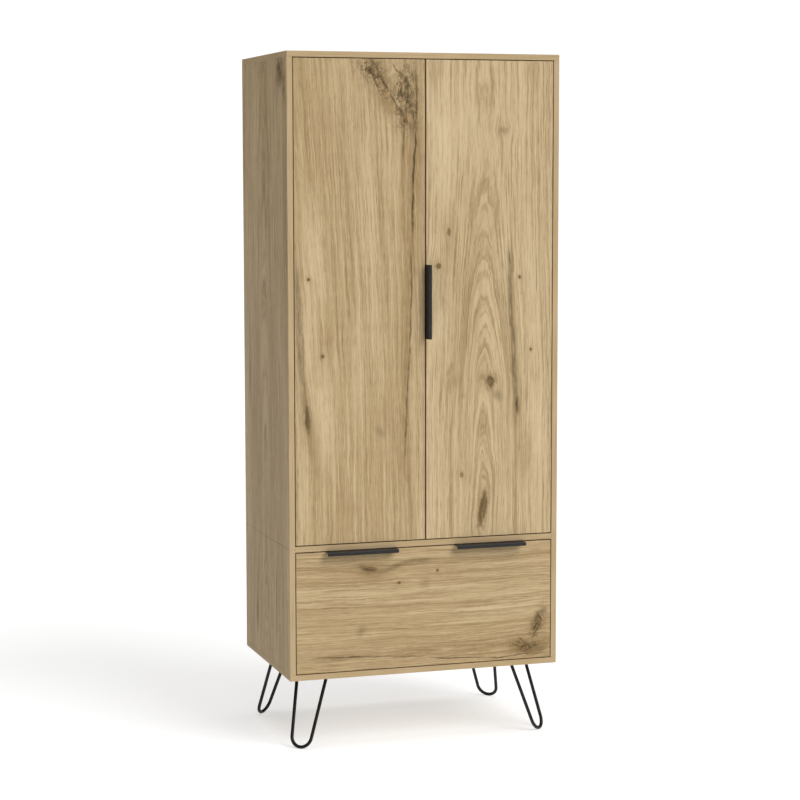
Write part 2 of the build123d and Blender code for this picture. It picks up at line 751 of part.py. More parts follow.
def make_runners():
    end = runner_front + runner_length
    outer_y = (runner_front, end)
    middle_y = (runner_front + middle_ends[0], end - middle_ends[1])
    inner_y = (runner_front + drawer_ends[0], end - drawer_ends[1])
    outer = channel(0.0, outer_reach, outer_half, runner_sheet, True, *outer_y)
    for up in (-1, 1):
        rolled_x = (outer_reach - runner_sheet - inner_x, outer_reach - inner_x)
        rolled_z = (runner_z + up * return_low, runner_z + up * return_high)
        outer += block(*rolled_x, *outer_y, *rolled_z)
    middle = channel(*middle_reach, middle_half, runner_sheet, True, *middle_y)
    inner_reach = (drawer_member_start, runner_space)
    inner = channel(*inner_reach, drawer_member_half, runner_sheet, False, *inner_y)
    fixing = []
    for place in cabinet_screws:
        head = (runner_sheet - inner_x, runner_front + place, runner_z)
        outer -= bar(along(head, (1, 0, 0), 1.0), (-1, 0, 0), euro_clearance, through)
        fixing.append(euro_screw(head, (-1, 0, 0), "lower_side_left", runner_sheet))
    sizes = (screw_radius, drawer_screw_length, *drawer_screw_head)
    drawer_screws = []
    for place in drawer_screw_places:
        head = (runner_space - runner_sheet - inner_x, runner_front + place, runner_z)
        inner -= bar(along(head, (-1, 0, 0), 1.0), (1, 0, 0), screw_clearance, through)
        drawer_screws.append(screw(head, (1, 0, 0), *sizes, "drawer_side_left", runner_sheet))
    cages = []
    for up in (-1, 1):
        cages += [ball_cage(up, *outer_cage), ball_cage(up, *inner_cage)]
    members = (("runner_cabinet", outer), ("runner_middle", middle), ("runner_drawer", inner))
    for node, member in members:
        parts[node + "_left"] = [member]
        parts[node + "_right"] = mirrored([member])
    parts["runner_ball_cages"] = both_sides(cages)
    parts["drawer_runner_screws"] = both_sides(drawer_screws)
    return fixing


# ---- Legs ----
def leg_rod():
    """The bent rod of the front left leg: two strands and the bend between them."""
    foot = Vector(-side_x + foot_inset, front + foot_inset, rod_radius)
    diagonal = 1 / sqrt(2)
    across = Vector(diagonal, -diagonal, 0)
    up_slope = Vector(diagonal * sin(splay), diagonal * sin(splay), cos(splay))
    leg_plane = Plane(origin=foot, x_dir=across, z_dir=across.cross(up_slope))
    top = (leg_height - plate / 2 - rod_radius) / cos(splay)
    reach = hypot(strand_half, top - bend_radius)
    turn = atan2(top - bend_radius, strand_half) - acos(bend_radius / reach)
    side = bend_radius * cos(turn)
    level = bend_radius + bend_radius * sin(turn)
    path = Line((strand_half, top), (side, level))
    path += ThreePointArc((side, level), (0, 0), (-side, level))
    path += Line((-side, level), (-strand_half, top))
    path = leg_plane.location * path
    section = Plane(origin=path @ 0, z_dir=path % 0) * Circle(rod_radius)
    return sweep(section, path=path)


def leg_plate():
    """The triangular fixing plate with four screw holes, for the front left leg."""
    outline = [
        (plate_near, plate_near), (plate_far, plate_near), (plate_far, plate_blunt),
        (plate_blunt, plate_far), (plate_near, plate_far),
    ]
    corner = (-side_x, front)
    points = [(corner[0] + x, corner[1] + y) for x, y in outline]
    steel = extrude(make_face(Polyline(*points, close=True)), amount=plate)
    steel = fillet(steel.edges().filter_by(Axis.Z), plate_corner)
    return Pos(0, 0, leg_height - plate) * steel


def make_legs():
    leg = leg_rod() + leg_plate()
    sizes = (leg_screw_radius, leg_screw_length, leg_screw_head, leg_screw_head / 2)
    bore_depth = leg_screw_length - plate + past_tip
    screws = []
    for x, y in leg_screw_places:
        head = (-side_x + x, front + y, leg_height - plate)
        leg -= bar(along(head, (0, 0, -1), 1.0), (0, 0, 1), leg_screw_clearance, plate + 2)
        screws.append(screw(head, (0, 0, 1), *sizes))
        for board_y in (head[1], 2 * centre_y - head[1]):
            hole = (head[0], board_y, floor_z)
            drill("bottom_panel", hole, (0, 0, 1), leg_screw_radius + fit_gap, bore_depth)
    mid_plane = Plane(origin=(0, centre_y, 0), z_dir=(0, 1, 0))
    parts["leg_front_left"] = [leg]
    parts["leg_front_right"] = mirrored([leg])
    parts["leg_back_left"] = [mirror(leg, about=mid_plane)]
    parts["leg_back_right"] = mirrored(parts["leg_back_left"])
    screws += [mirror(s, about=mid_plane) for s in screws]
    parts["leg_screws"] = both_sides(screws)


# ---- Build, cut and write ----
def make_brackets():
    angles = []
    screws = []
    for place in bracket_places:
        for level, up in ((middle_top, 1), (middle_low, -1)):
            angle, pair = corner_bracket(front + place, level, up)
            angles.append(angle)
            screws += pair
    parts["corner_brackets"] = both_sides(angles)
    angle, wall_screw = wall_bracket()
    parts["wall_brackets"] = both_sides([angle])
    return screws + [wall_screw]


def main():
    make_boards()
    make_joints()
    small_screws = make_brackets() + make_shelf_and_rail()
    plate_screws = make_hinges()
    make_doors()
    make_drawer_handles()
    make_drawer_box()
    runner_screws = make_runners()
    make_legs()
    parts["chipboard_screws"] = both_sides(small_screws)
    parts["euro_screws"] = both_sides(plate_screws + runner_screws)

    door_right_bores = cutters.pop("door_right")
    for node, shapes in cutters.items():
        parts[node] = [parts[node][0] - shapes]
    for node in ("upper_side", "lower_side", "drawer_side"):
        parts[node + "_right"] = mirrored(parts[node + "_left"])
    parts["door_right"] = [mirrored(parts["door_left"])[0] - door_right_bores]

    os.makedirs("parts", exist_ok=True)
    for node, solids in sorted(parts.items()):
        shape = solids[0] if len(solids) == 1 else Compound(children=solids)
        export_step(shape, f"parts/{node}.step")
    print(len(parts), "nodes written")


main()
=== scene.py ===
import bmesh
import bpy
from math import acos, atan2, cos, hypot, pi, radians, sin
from mathutils import Matrix, Vector


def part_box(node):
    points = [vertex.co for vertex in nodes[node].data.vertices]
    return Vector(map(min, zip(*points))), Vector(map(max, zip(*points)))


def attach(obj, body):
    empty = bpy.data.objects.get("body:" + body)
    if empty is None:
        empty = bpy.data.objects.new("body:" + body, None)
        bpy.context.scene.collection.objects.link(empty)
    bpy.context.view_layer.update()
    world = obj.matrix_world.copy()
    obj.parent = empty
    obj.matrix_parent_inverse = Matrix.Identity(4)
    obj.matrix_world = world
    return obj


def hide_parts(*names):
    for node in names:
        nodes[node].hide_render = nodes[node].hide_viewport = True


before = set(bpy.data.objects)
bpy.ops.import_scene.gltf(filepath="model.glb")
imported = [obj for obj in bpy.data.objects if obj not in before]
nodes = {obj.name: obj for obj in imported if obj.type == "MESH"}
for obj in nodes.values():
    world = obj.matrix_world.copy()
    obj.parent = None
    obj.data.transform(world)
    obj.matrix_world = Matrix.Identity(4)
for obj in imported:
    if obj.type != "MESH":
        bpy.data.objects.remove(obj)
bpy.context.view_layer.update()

scene = bpy.context.scene

def addObject(name, data):
    made = bpy.data.objects.new(name, data)
    scene.collection.objects.link(made)
    return made


# Camera and light

cameraSetup = {
    "location": (-1.9284, -6.0263, 1.5956),
    "azimuth": -17.757,
    "pitch": 5.879,
    "roll": -0.07,
    "lens": 99.57,
}

studio = {
    "ambient": 0.05,       # what the surroundings give to the piece
    "keyStrength": 2.55,   # large soft source, from the front right
    "keyFrom": (0.42, -0.64, 0.64),
    "keySoftness": 38.0,
    "topStrength": 1.6,    # overhead, it mostly whitens the floor
    "topSoftness": 45.0,
    "floorTone": (0.50, 0.50, 0.497, 1.0),
    "floorGlow": 0.58,     # the floor is a light table
    "floorHalf": 60.0,
    "backdropStrength": 1.05,
}


def setCamera():
    data = bpy.data.cameras.new("studioCamera")
    data.lens = cameraSetup["lens"]
    data.sensor_width = 36.0
    data.clip_end = 200.0
    camera = addObject("studioCamera", data)
    pitch, roll, turn = (radians(cameraSetup[k]) for k in ("pitch", "roll", "azimuth"))
    turned = Matrix.Rotation(turn, 4, "Z") @ Matrix.Rotation(pi / 2 - pitch, 4, "X")
    turned = turned @ Matrix.Rotation(roll, 4, "Z")
    camera.matrix_world = Matrix.Translation(cameraSetup["location"]) @ turned
    scene.camera = camera


def addSun(name, direction, strength, softness):
    data = bpy.data.lights.new(name, "SUN")
    data.energy = strength
    data.angle = radians(softness)
    lamp = addObject(name, data)
    lamp.rotation_euler = Vector(direction).to_track_quat("Z", "Y").to_euler()


def setLight():
    world = bpy.data.worlds.new("studioWorld")
    scene.world = world
    world.use_nodes = True
    tree = world.node_tree
    ambient = tree.nodes["Background"]
    ambient.inputs["Color"].default_value = (1.0, 1.0, 1.0, 1.0)
    ambient.inputs["Strength"].default_value = studio["ambient"]
    backdrop = tree.nodes.new("ShaderNodeBackground")
    backdrop.inputs["Strength"].default_value = studio["backdropStrength"]
    backdrop.inputs["Color"].default_value = (1.0, 1.0, 1.0, 1.0)
    path = tree.nodes.new("ShaderNodeLightPath")
    mix = tree.nodes.new("ShaderNodeMixShader")
    tree.links.new(path.outputs["Is Camera Ray"], mix.inputs[0])
    tree.links.new(ambient.outputs[0], mix.inputs[1])
    tree.links.new(backdrop.outputs[0], mix.inputs[2])
    tree.links.new(mix.outputs[0], tree.nodes["World Output"].inputs["Surface"])
    addSun("keyLight", studio["keyFrom"], studio["keyStrength"], studio["keySoftness"])
    addSun("topLight", (0.0, 0.0, 1.0), studio["topStrength"], studio["topSoftness"])
    scene.view_settings.view_transform = "Standard"
    scene.view_settings.look = "None"


# Small node helpers

def put(tree, socket, value):
    # a socket is linked, anything else becomes the input's own value
    if isinstance(value, bpy.types.NodeSocket):
        tree.links.new(value, socket)
    else:
        socket.default_value = value


def maths(tree, operation, *values, clamp=False):
    node = tree.nodes.new("ShaderNodeMath")
    node.operation = operation
    node.use_clamp = clamp
    for socket, value in zip(node.inputs, values):
        put(tree, socket, value)
    return node.outputs[0]


def times(tree, first, second):
    return maths(tree, "MULTIPLY", first, second)


def plus(tree, first, second):
    return maths(tree, "ADD", first, second)


def minus(tree, first, second):
    return maths(tree, "SUBTRACT", first, second)


def vectors(tree, operation, *values, scale=None):
    node = tree.nodes.new("ShaderNodeVectorMath")
    node.operation = operation
    for socket, value in zip(node.inputs, values):
        put(tree, socket, value)
    if scale is not None:
        put(tree, node.inputs["Scale"], scale)
    return node.outputs["Value"] if operation in ("LENGTH", "DOT_PRODUCT", "DISTANCE") else node.outputs[0]


def combine(tree, x=0.0, y=0.0, z=0.0):
    node = tree.nodes.new("ShaderNodeCombineXYZ")
    for socket, value in zip(node.inputs, (x, y, z)):
        put(tree, socket, value)
    return node.outputs[0]


def separate(tree, vector):
    node = tree.nodes.new("ShaderNodeSeparateXYZ")
    put(tree, node.inputs[0], vector)
    return node.outputs


def noise(tree, vector, scale=1.0, detail=2.0, roughness=0.5, distortion=0.0):
    node = tree.nodes.new("ShaderNodeTexNoise")
    put(tree, node.inputs["Vector"], vector)
    node.inputs["Scale"].default_value = scale
    node.inputs["Detail"].default_value = detail
    node.inputs["Roughness"].default_value = roughness
    node.inputs["Distortion"].default_value = distortion
    return node.outputs["Fac"]


def ramp(tree, value, low, high, outLow=0.0, outHigh=1.0, smooth=True):
    node = tree.nodes.new("ShaderNodeMapRange")
    node.interpolation_type = "SMOOTHSTEP" if smooth else "LINEAR"
    for name, setting in (("Value", value), ("From Min", low), ("From Max", high),
                          ("To Min", outLow), ("To Max", outHigh)):
        put(tree, node.inputs[name], setting)
    return node.outputs["Result"]


def blendColours(tree, amount, first, second, mode="MIX"):
    node = tree.nodes.new("ShaderNodeMix")
    node.data_type = "RGBA"
    node.blend_type = mode
    put(tree, node.inputs["Factor"], amount)
    put(tree, node.inputs[6], first)
    put(tree, node.inputs[7], second)
    return node.outputs[2]


def tone(red, green, blue):
    # eight-bit screen colour to the linear colour that nodes take
    linear = [((c / 255 + 0.055) / 1.055) ** 2.4 if c > 10 else c / 255 / 12.92 for c in (red, green, blue)]
    return (*linear, 1.0)


def startMaterial(name, **fixed):
    material = bpy.data.materials.new(name)
    material.use_nodes = True
    tree = material.node_tree
    shader = tree.nodes["Principled BSDF"]
    for socket, value in fixed.items():
        shader.inputs[socket].default_value = value
    place = tree.nodes.new("ShaderNodeTexCoord").outputs["Object"]
    return material, tree, shader, place


def surface(tree, shader, colour, sheen, height, depth):
    # the last links of a finish: colour, roughness as a ramp's values, and fine relief
    tree.links.new(colour, shader.inputs["Base Color"])
    tree.links.new(ramp(tree, *sheen), shader.inputs["Roughness"])
    bump = tree.nodes.new("ShaderNodeBump")
    bump.inputs["Distance"].default_value = depth
    bump.inputs["Strength"].default_value = 1.0
    put(tree, bump.inputs["Height"], height)
    tree.links.new(bump.outputs["Normal"], shader.inputs["Normal"])


# Oak decor

oak = {
    "glow": tone(209, 188, 152),
    "light": tone(197, 175, 138),
    "mid": tone(176, 152, 114),
    "line": tone(146, 121, 84),
    "pore": tone(118, 94, 62),
    "warm": tone(139, 113, 73),
    "smoke": tone(104, 89, 62),
    "knot": tone(84, 64, 41),
    "crack": tone(56, 43, 29),
    "ringPitch": 105.0,      # growth lines in a metre
    "finePitch": 330.0,
    "poreAcross": 1150.0,
    "poreAlong": 26.0,
    "wander": 0.012,         # how far the grain strays sideways, in metres
    "bumpDepth": 0.00016,
}


def newShaderGroup(name, vectorNames, floatNames, outputs):
    tree = bpy.data.node_groups.new(name, "ShaderNodeTree")
    sockets = [(label, "INPUT", "Vector") for label in vectorNames]
    sockets += [(label, "INPUT", "Float") for label in floatNames]
    sockets += [(label, "OUTPUT", kind) for label, kind in outputs]
    for label, way, kind in sockets:
        tree.interface.new_socket(label, in_out=way, socket_type="NodeSocket" + kind)
    return tree, tree.nodes.new("NodeGroupInput").outputs


def knotGroup():
    # bends the grain round a knot, and gives the knot's core and its halo
    tree, given = newShaderGroup(
        "knotInGrain", ("Place", "Centre"), ("Half across", "Half along", "Tilt", "Bend"),
        (("Place", "Vector"), ("Core", "Float"), ("Halo", "Float"), ("Radius", "Float")))
    offset = vectors(tree, "SUBTRACT", given["Place"], given["Centre"])
    du, dv, _ = separate(tree, offset)
    c = maths(tree, "COSINE", given["Tilt"])
    s = maths(tree, "SINE", given["Tilt"])
    a = plus(tree, times(tree, du, c), times(tree, dv, s))
    b = minus(tree, times(tree, dv, c), times(tree, du, s))
    a = maths(tree, "DIVIDE", a, given["Half across"])
    b = maths(tree, "DIVIDE", b, given["Half along"])
    radius = vectors(tree, "LENGTH", combine(tree, a, b))
    uneven = noise(tree, given["Place"], 95.0, 3.0, 0.6)
    radius = plus(tree, radius, times(tree, minus(tree, uneven, 0.5), 1.1))
    squared = times(tree, radius, radius)
    reach = maths(tree, "EXPONENT", times(tree, squared, -0.13))
    push = times(tree, times(tree, du, reach), given["Bend"])
    moved = vectors(tree, "SUBTRACT", given["Place"], combine(tree, push))
    result = tree.nodes.new("NodeGroupOutput").inputs
    tree.links.new(moved, result["Place"])
    tree.links.new(ramp(tree, radius, 1.25, 0.55), result["Core"])
    tree.links.new(maths(tree, "EXPONENT", times(tree, squared, -0.32)), result["Halo"])
    tree.links.new(radius, result["Radius"])
    return tree


def streakGroup():
    # soft-edged line between two points, thinner towards its ends
    tree, given = newShaderGroup(
        "streakInGrain", ("Place", "From", "To"), ("Width", "Thin start", "Thin end"), (("Mask", "Float"),))
    run = vectors(tree, "SUBTRACT", given["To"], given["From"])
    offset = vectors(tree, "SUBTRACT", given["Place"], given["From"])
    share = maths(tree, "DIVIDE", vectors(tree, "DOT_PRODUCT", offset, run),
                  vectors(tree, "DOT_PRODUCT", run, run), clamp=True)
    nearest = vectors(tree, "SCALE", run, scale=share)
    gap = vectors(tree, "DISTANCE", offset, nearest)
    away = maths(tree, "DIVIDE", gap, given["Width"])
    fromStart = times(tree, ramp(tree, share, 0.45, 0.0), given["Thin start"])
    fromEnd = times(tree, ramp(tree, share, 0.55, 1.0), given["Thin end"])
    full = minus(tree, 1.0, plus(tree, fromStart, fromEnd))
    soft = times(tree, ramp(tree, away, 1.0, 0.12), full)
    result = tree.nodes.new("NodeGroupOutput").inputs
    tree.links.new(maths(tree, "MAXIMUM", soft, 0.0), result["Mask"])
    return tree


knotTree = knotGroup()
streakTree = streakGroup()


def oakFace(name, across, along, pattern=None, seed=0.0):
    # decor seen on the board's broad faces, drawn in its own metres across and along the grain
    pattern = pattern or {}
    material, tree, shader, place = startMaterial(name, **{"Specular IOR Level": 0.08})
    axes = separate(tree, place)
    u, v = axes["XYZ".index(across)], axes["XYZ".index(along)]
    w = axes[3 - "XYZ".index(across) - "XYZ".index(along)]
    seeded = plus(tree, w, seed)

    def stretched(perAcross, perAlong, detail, roughness, base=u, run=v, distortion=0.0):
        vector = combine(tree, amount(base, perAcross), amount(run, perAlong), seeded)
        return noise(tree, vector, 1.0, detail, roughness, distortion)

    def amount(mask, share):
        return times(tree, mask, share)

    def about(value, span):
        return amount(minus(tree, value, 0.5), span)

    def laid(colour, mask, share, kind):
        return blendColours(tree, amount(mask, share), colour, oak[kind])

    ripple = stretched(16.0, 10.0, 3.0, 0.6)
    shift = plus(tree, about(stretched(3.2, 1.7, 3.0, 0.55), oak["wander"] * 2), about(ripple, 0.006))
    grain = combine(tree, plus(tree, u, shift), v)
    jitter = stretched(48.0, 30.0, 3.0, 0.6)
    marks = combine(tree, plus(tree, u, plus(tree, about(ripple, 0.012), about(jitter, 0.006))), v)

    def knotNode(settings):
        knot = tree.nodes.new("ShaderNodeGroup")
        knot.node_tree = knotTree
        for socket, value in settings:
            put(tree, knot.inputs[socket], value)
        return knot.outputs

    core, halo, ringsInKnot, crazed = 0.0, 0.0, None, 0.0
    for cu, cv, halfU, halfV, tilt, bend, depth in pattern.get("knots", ()):
        knot = knotNode((("Place", grain), ("Centre", (cu, cv, 0.0)), ("Half across", halfU),
                         ("Half along", halfV), ("Tilt", radians(tilt)), ("Bend", bend)))
        grain = knot["Place"]
        core = maths(tree, "MAXIMUM", core, amount(knot["Core"], depth))
        halo = maths(tree, "MAXIMUM", halo, amount(knot["Halo"], depth))
        rings = knot["Radius"]
        ringsInKnot = rings if ringsInKnot is None else maths(tree, "MINIMUM", ringsInKnot, rings)
    for cu, cv, halfU, halfV, tilt, depth in pattern.get("crazed", ()):
        knot = knotNode((("Place", marks), ("Centre", (cu, cv, 0.0)), ("Half across", halfU),
                         ("Half along", halfV), ("Tilt", radians(tilt)), ("Bend", 0.0)))
        crazed = maths(tree, "MAXIMUM", crazed, amount(knot["Halo"], depth))

    gu, gv, _ = separate(tree, grain)
    centre, height, rise, narrow = pattern.get("heart", (0.0, 0.05, 0.06, 1.0))
    # the arches end at this height, and the grain is straight above it
    arched = maths(tree, "SMOOTH_MIN", gv, pattern.get("archesBelow", 9.0), 0.25)
    sway = noise(tree, combine(tree, times(tree, gv, 2.6), seeded), 1.0, 2.0, 0.5)
    feather = stretched(90.0, 9.0, 4.0, 0.65, gu, gv)
    below = plus(tree, amount(minus(tree, arched, 1.0), rise), height)
    below = plus(tree, below, about(sway, pattern.get("sway", 0.03)))
    fromHeart = vectors(tree, "LENGTH", combine(tree, amount(minus(tree, gu, centre), narrow), below))
    fromHeart = plus(tree, fromHeart, about(feather, 0.010))

    broad = stretched(7.0, 1.0, 3.0, 0.55, gu, gv)
    lines = stretched(pattern.get("ringPitch", oak["ringPitch"]) / narrow, 1.0, 4.0, 0.74, fromHeart, gv)
    fine = stretched(oak["finePitch"] / narrow, 5.0, 3.0, 0.70, fromHeart, gv)
    fibres = stretched(520.0, 20.0, 2.0, 0.6, gu, gv)
    pores = stretched(oak["poreAcross"], oak["poreAlong"], 1.0, 0.5, gu, gv)
    fleck = stretched(420.0, 70.0, 2.0, 0.5, gu, gv)

    poreMask = times(tree, ramp(tree, pores, 0.54, 0.70), ramp(tree, lines, 0.36, 0.62))
    pale = pattern.get("pale", 0.0)      # above zero the board is lighter than the others
    colour = blendColours(tree, ramp(tree, broad, 0.26 + pale, 0.66 + pale), oak["light"], oak["mid"])
    layers = (     # what draws each layer, where it begins and is full, its strength and its tone
        (lines, 0.49, 0.64, 0.56, "line"), (lines, 0.46, 0.34, 0.50, "glow"),
        (fine, 0.50, 0.63, 0.58, "line"), (fine, 0.47, 0.35, 0.55, "light"),
        (fibres, 0.52, 0.72, 0.42, "line"), (fleck, 0.55, 0.75, 0.25, "light"),
    )
    for drawn, begin, full, share, kind in layers:
        colour = laid(colour, ramp(tree, drawn, begin, full), share, kind)
    colour = laid(colour, poreMask, 0.60, "pore")

    broken = ramp(tree, stretched(120.0, 26.0, 3.0, 0.65, gu, gv), 0.30, 0.60, 0.45, 1.0)
    for kind in ("glow", "warm", "smoke", "crack"):
        mask = None
        for au, av, bu, bv, width, depth, *thin in pattern.get(kind, ()):
            thinStart, thinEnd = thin or (1.0, 1.0)
            streak = tree.nodes.new("ShaderNodeGroup")
            streak.node_tree = streakTree
            for socket, value in (("Place", marks), ("From", (au, av, 0.0)), ("To", (bu, bv, 0.0)),
                                  ("Width", width), ("Thin start", thinStart), ("Thin end", thinEnd)):
                put(tree, streak.inputs[socket], value)
            one = amount(streak.outputs["Mask"], depth)
            mask = one if mask is None else maths(tree, "MAXIMUM", mask, one)
        if mask is not None:
            colour = blendColours(tree, times(tree, mask, broken), colour, oak[kind])

    cracked = 0.0
    if ringsInKnot is not None:
        colour = laid(colour, halo, 0.50, "warm")
        colour = laid(colour, core, 0.88, "knot")
        growth = maths(tree, "SINE", amount(ringsInKnot, 17.0))
        growth = times(tree, ramp(tree, growth, 0.1, 0.9), core)
        colour = laid(colour, growth, 0.50, "line")
    if pattern.get("crazed"):
        colour = laid(colour, crazed, 0.40, "warm")
        cloud = ramp(tree, stretched(62.0, 44.0, 4.0, 0.70), 0.46, 0.60)
        colour = laid(colour, times(tree, cloud, crazed), 0.92, "smoke")
        veins = stretched(66.0, 40.0, 3.0, 0.6, distortion=0.8)
        ridge = maths(tree, "ABSOLUTE", minus(tree, veins, 0.5))
        cracked = times(tree, ramp(tree, ridge, 0.052, 0.0), ramp(tree, crazed, 0.25, 0.85))
        colour = laid(colour, cracked, 0.62, "crack")

    relief = minus(tree, amount(fine, 0.35), amount(poreMask, 0.9))
    relief = minus(tree, relief, cracked)
    surface(tree, shader, colour, (relief, -1.0, 0.5, 0.66, 0.5), relief, oak["bumpDepth"])
    return material


def oakEdging(name, along):
    # the plain strip on the boards' edges, its fine grain running along the edge
    material, tree, shader, place = startMaterial(name, **{"Specular IOR Level": 0.08})
    stretch = [420.0, 420.0, 420.0]
    stretch["XYZ".index(along)] = 7.0
    drawn = vectors(tree, "MULTIPLY", place, tuple(stretch))
    grain = noise(tree, drawn, 1.0, 3.0, 0.6)
    cloud = noise(tree, place, 6.0, 2.0, 0.5)
    colour = blendColours(tree, ramp(tree, cloud, 0.3, 0.7), tone(185, 162, 126), tone(176, 153, 116))
    colour = blendColours(tree, times(tree, ramp(tree, grain, 0.46, 0.74), 0.5), colour, tone(152, 128, 92))
    surface(tree, shader, colour, (grain, 0.3, 0.7, 0.46, 0.58), grain, 0.00006)
    return material


# Marks on each board, in metres. A knot: across, along, half width, half length, tilt, bend, depth.
# A crazed area: the same without the bend. The streaks glow, warm, smoke and crack: from across,
# from along, to across, to along, width, depth, then how much each end thins out, fully if not given.
# The heart of the figure: across, drop, how it opens upwards, and how close the lines lie.
def chain(points, width, depth):
    # one streak for each leg of a bent line, which thins out at its two ends only
    last = len(points) - 2
    return [(*points[i], *points[i + 1], width, depth, 0.85 * (i == 0), 0.85 * (i == last))
            for i in range(last + 1)]


leftDoorMarks = {
    "heart": (-0.62, 0.1, 0.12, 1.0),
    "knots": [
        (-0.06, 1.737, 0.007, 0.011, 0.0, 0.5, 1.0),
        (-0.332, 1.306, 0.0045, 0.005, 0.0, 0.3, 1.0),
        (-0.297, 1.096, 0.0045, 0.006, 0.0, 0.3, 0.9),
        (-0.341, 0.925, 0.006, 0.045, 2.0, 0.6, 0.75),
    ],
    "crazed": [
        (-0.154, 1.874, 0.02, 0.032, 36.0, 1.0),
        (-0.122, 1.824, 0.012, 0.03, 36.0, 0.9),
        (-0.06, 1.815, 0.022, 0.046, -8.0, 1.0),
        (-0.056, 1.76, 0.02, 0.034, 0.0, 0.9),
        (-0.036, 1.77, 0.009, 0.044, 0.0, 0.8),
    ],
    "glow": [(-0.105, 1.875, -0.088, 1.835, 0.02, 0.8), (-0.33, 1.62, -0.3, 1.15, 0.045, 0.55),
             (-0.3, 1.15, -0.285, 0.72, 0.04, 0.6), (-0.2, 1.3, -0.19, 0.8, 0.03, 0.35)],
    "warm": chain([(-0.036, 1.74), (-0.044, 1.45), (-0.052, 1.2), (-0.06, 0.96), (-0.07, 0.66)], 0.026, 0.6)
    + chain([(-0.06, 1.72), (-0.068, 1.56), (-0.066, 1.36)], 0.014, 0.65)
    + [(-0.15, 1.83, -0.07, 1.73, 0.036, 0.6), (-0.33, 0.98, -0.31, 0.66, 0.03, 0.4),
       (-0.168, 1.9, -0.07, 1.8, 0.038, 0.5), (-0.02, 1.85, -0.02, 1.3, 0.02, 0.35)],
    "smoke": chain([(-0.368, 1.37), (-0.36, 1.16), (-0.352, 1.02), (-0.341, 0.86)], 0.016, 0.62)
    + [(-0.152, 0.905, -0.112, 0.865, 0.016, 0.38), (-0.055, 1.86, -0.046, 1.76, 0.014, 0.55),
       (-0.346, 0.97, -0.336, 0.88, 0.02, 0.55), (-0.035, 1.78, -0.033, 1.66, 0.012, 0.6)],
    "crack": chain([(-0.027, 1.9), (-0.028, 1.71), (-0.032, 1.63), (-0.037, 1.52),
                    (-0.039, 1.41)], 0.0048, 0.85)
    + chain([(-0.039, 1.41), (-0.042, 1.245), (-0.051, 1.02), (-0.063, 0.77)], 0.004, 0.62)
    + chain([(-0.15, 1.898), (-0.122, 1.838), (-0.104, 1.812)], 0.0055, 0.9)
    + chain([(-0.172, 1.88), (-0.155, 1.862), (-0.132, 1.846)], 0.006, 0.9)
    + chain([(-0.16, 1.89), (-0.158, 1.866), (-0.144, 1.84), (-0.136, 1.822)], 0.0045, 0.85)
    + chain([(-0.104, 1.812), (-0.082, 1.775), (-0.062, 1.742)], 0.0042, 0.85)
    + chain([(-0.096, 1.892), (-0.082, 1.872), (-0.066, 1.858)], 0.0036, 0.75)
    + chain([(-0.052, 1.855), (-0.049, 1.815), (-0.058, 1.775), (-0.06, 1.737)], 0.005, 0.9)
    + chain([(-0.088, 1.786), (-0.07, 1.808), (-0.064, 1.838), (-0.05, 1.85)], 0.0036, 0.8)
    + chain([(-0.06, 1.737), (-0.063, 1.69), (-0.066, 1.63)], 0.0042, 0.65)
    + [(-0.341, 0.965, -0.341, 0.885, 0.006, 0.85)],
}

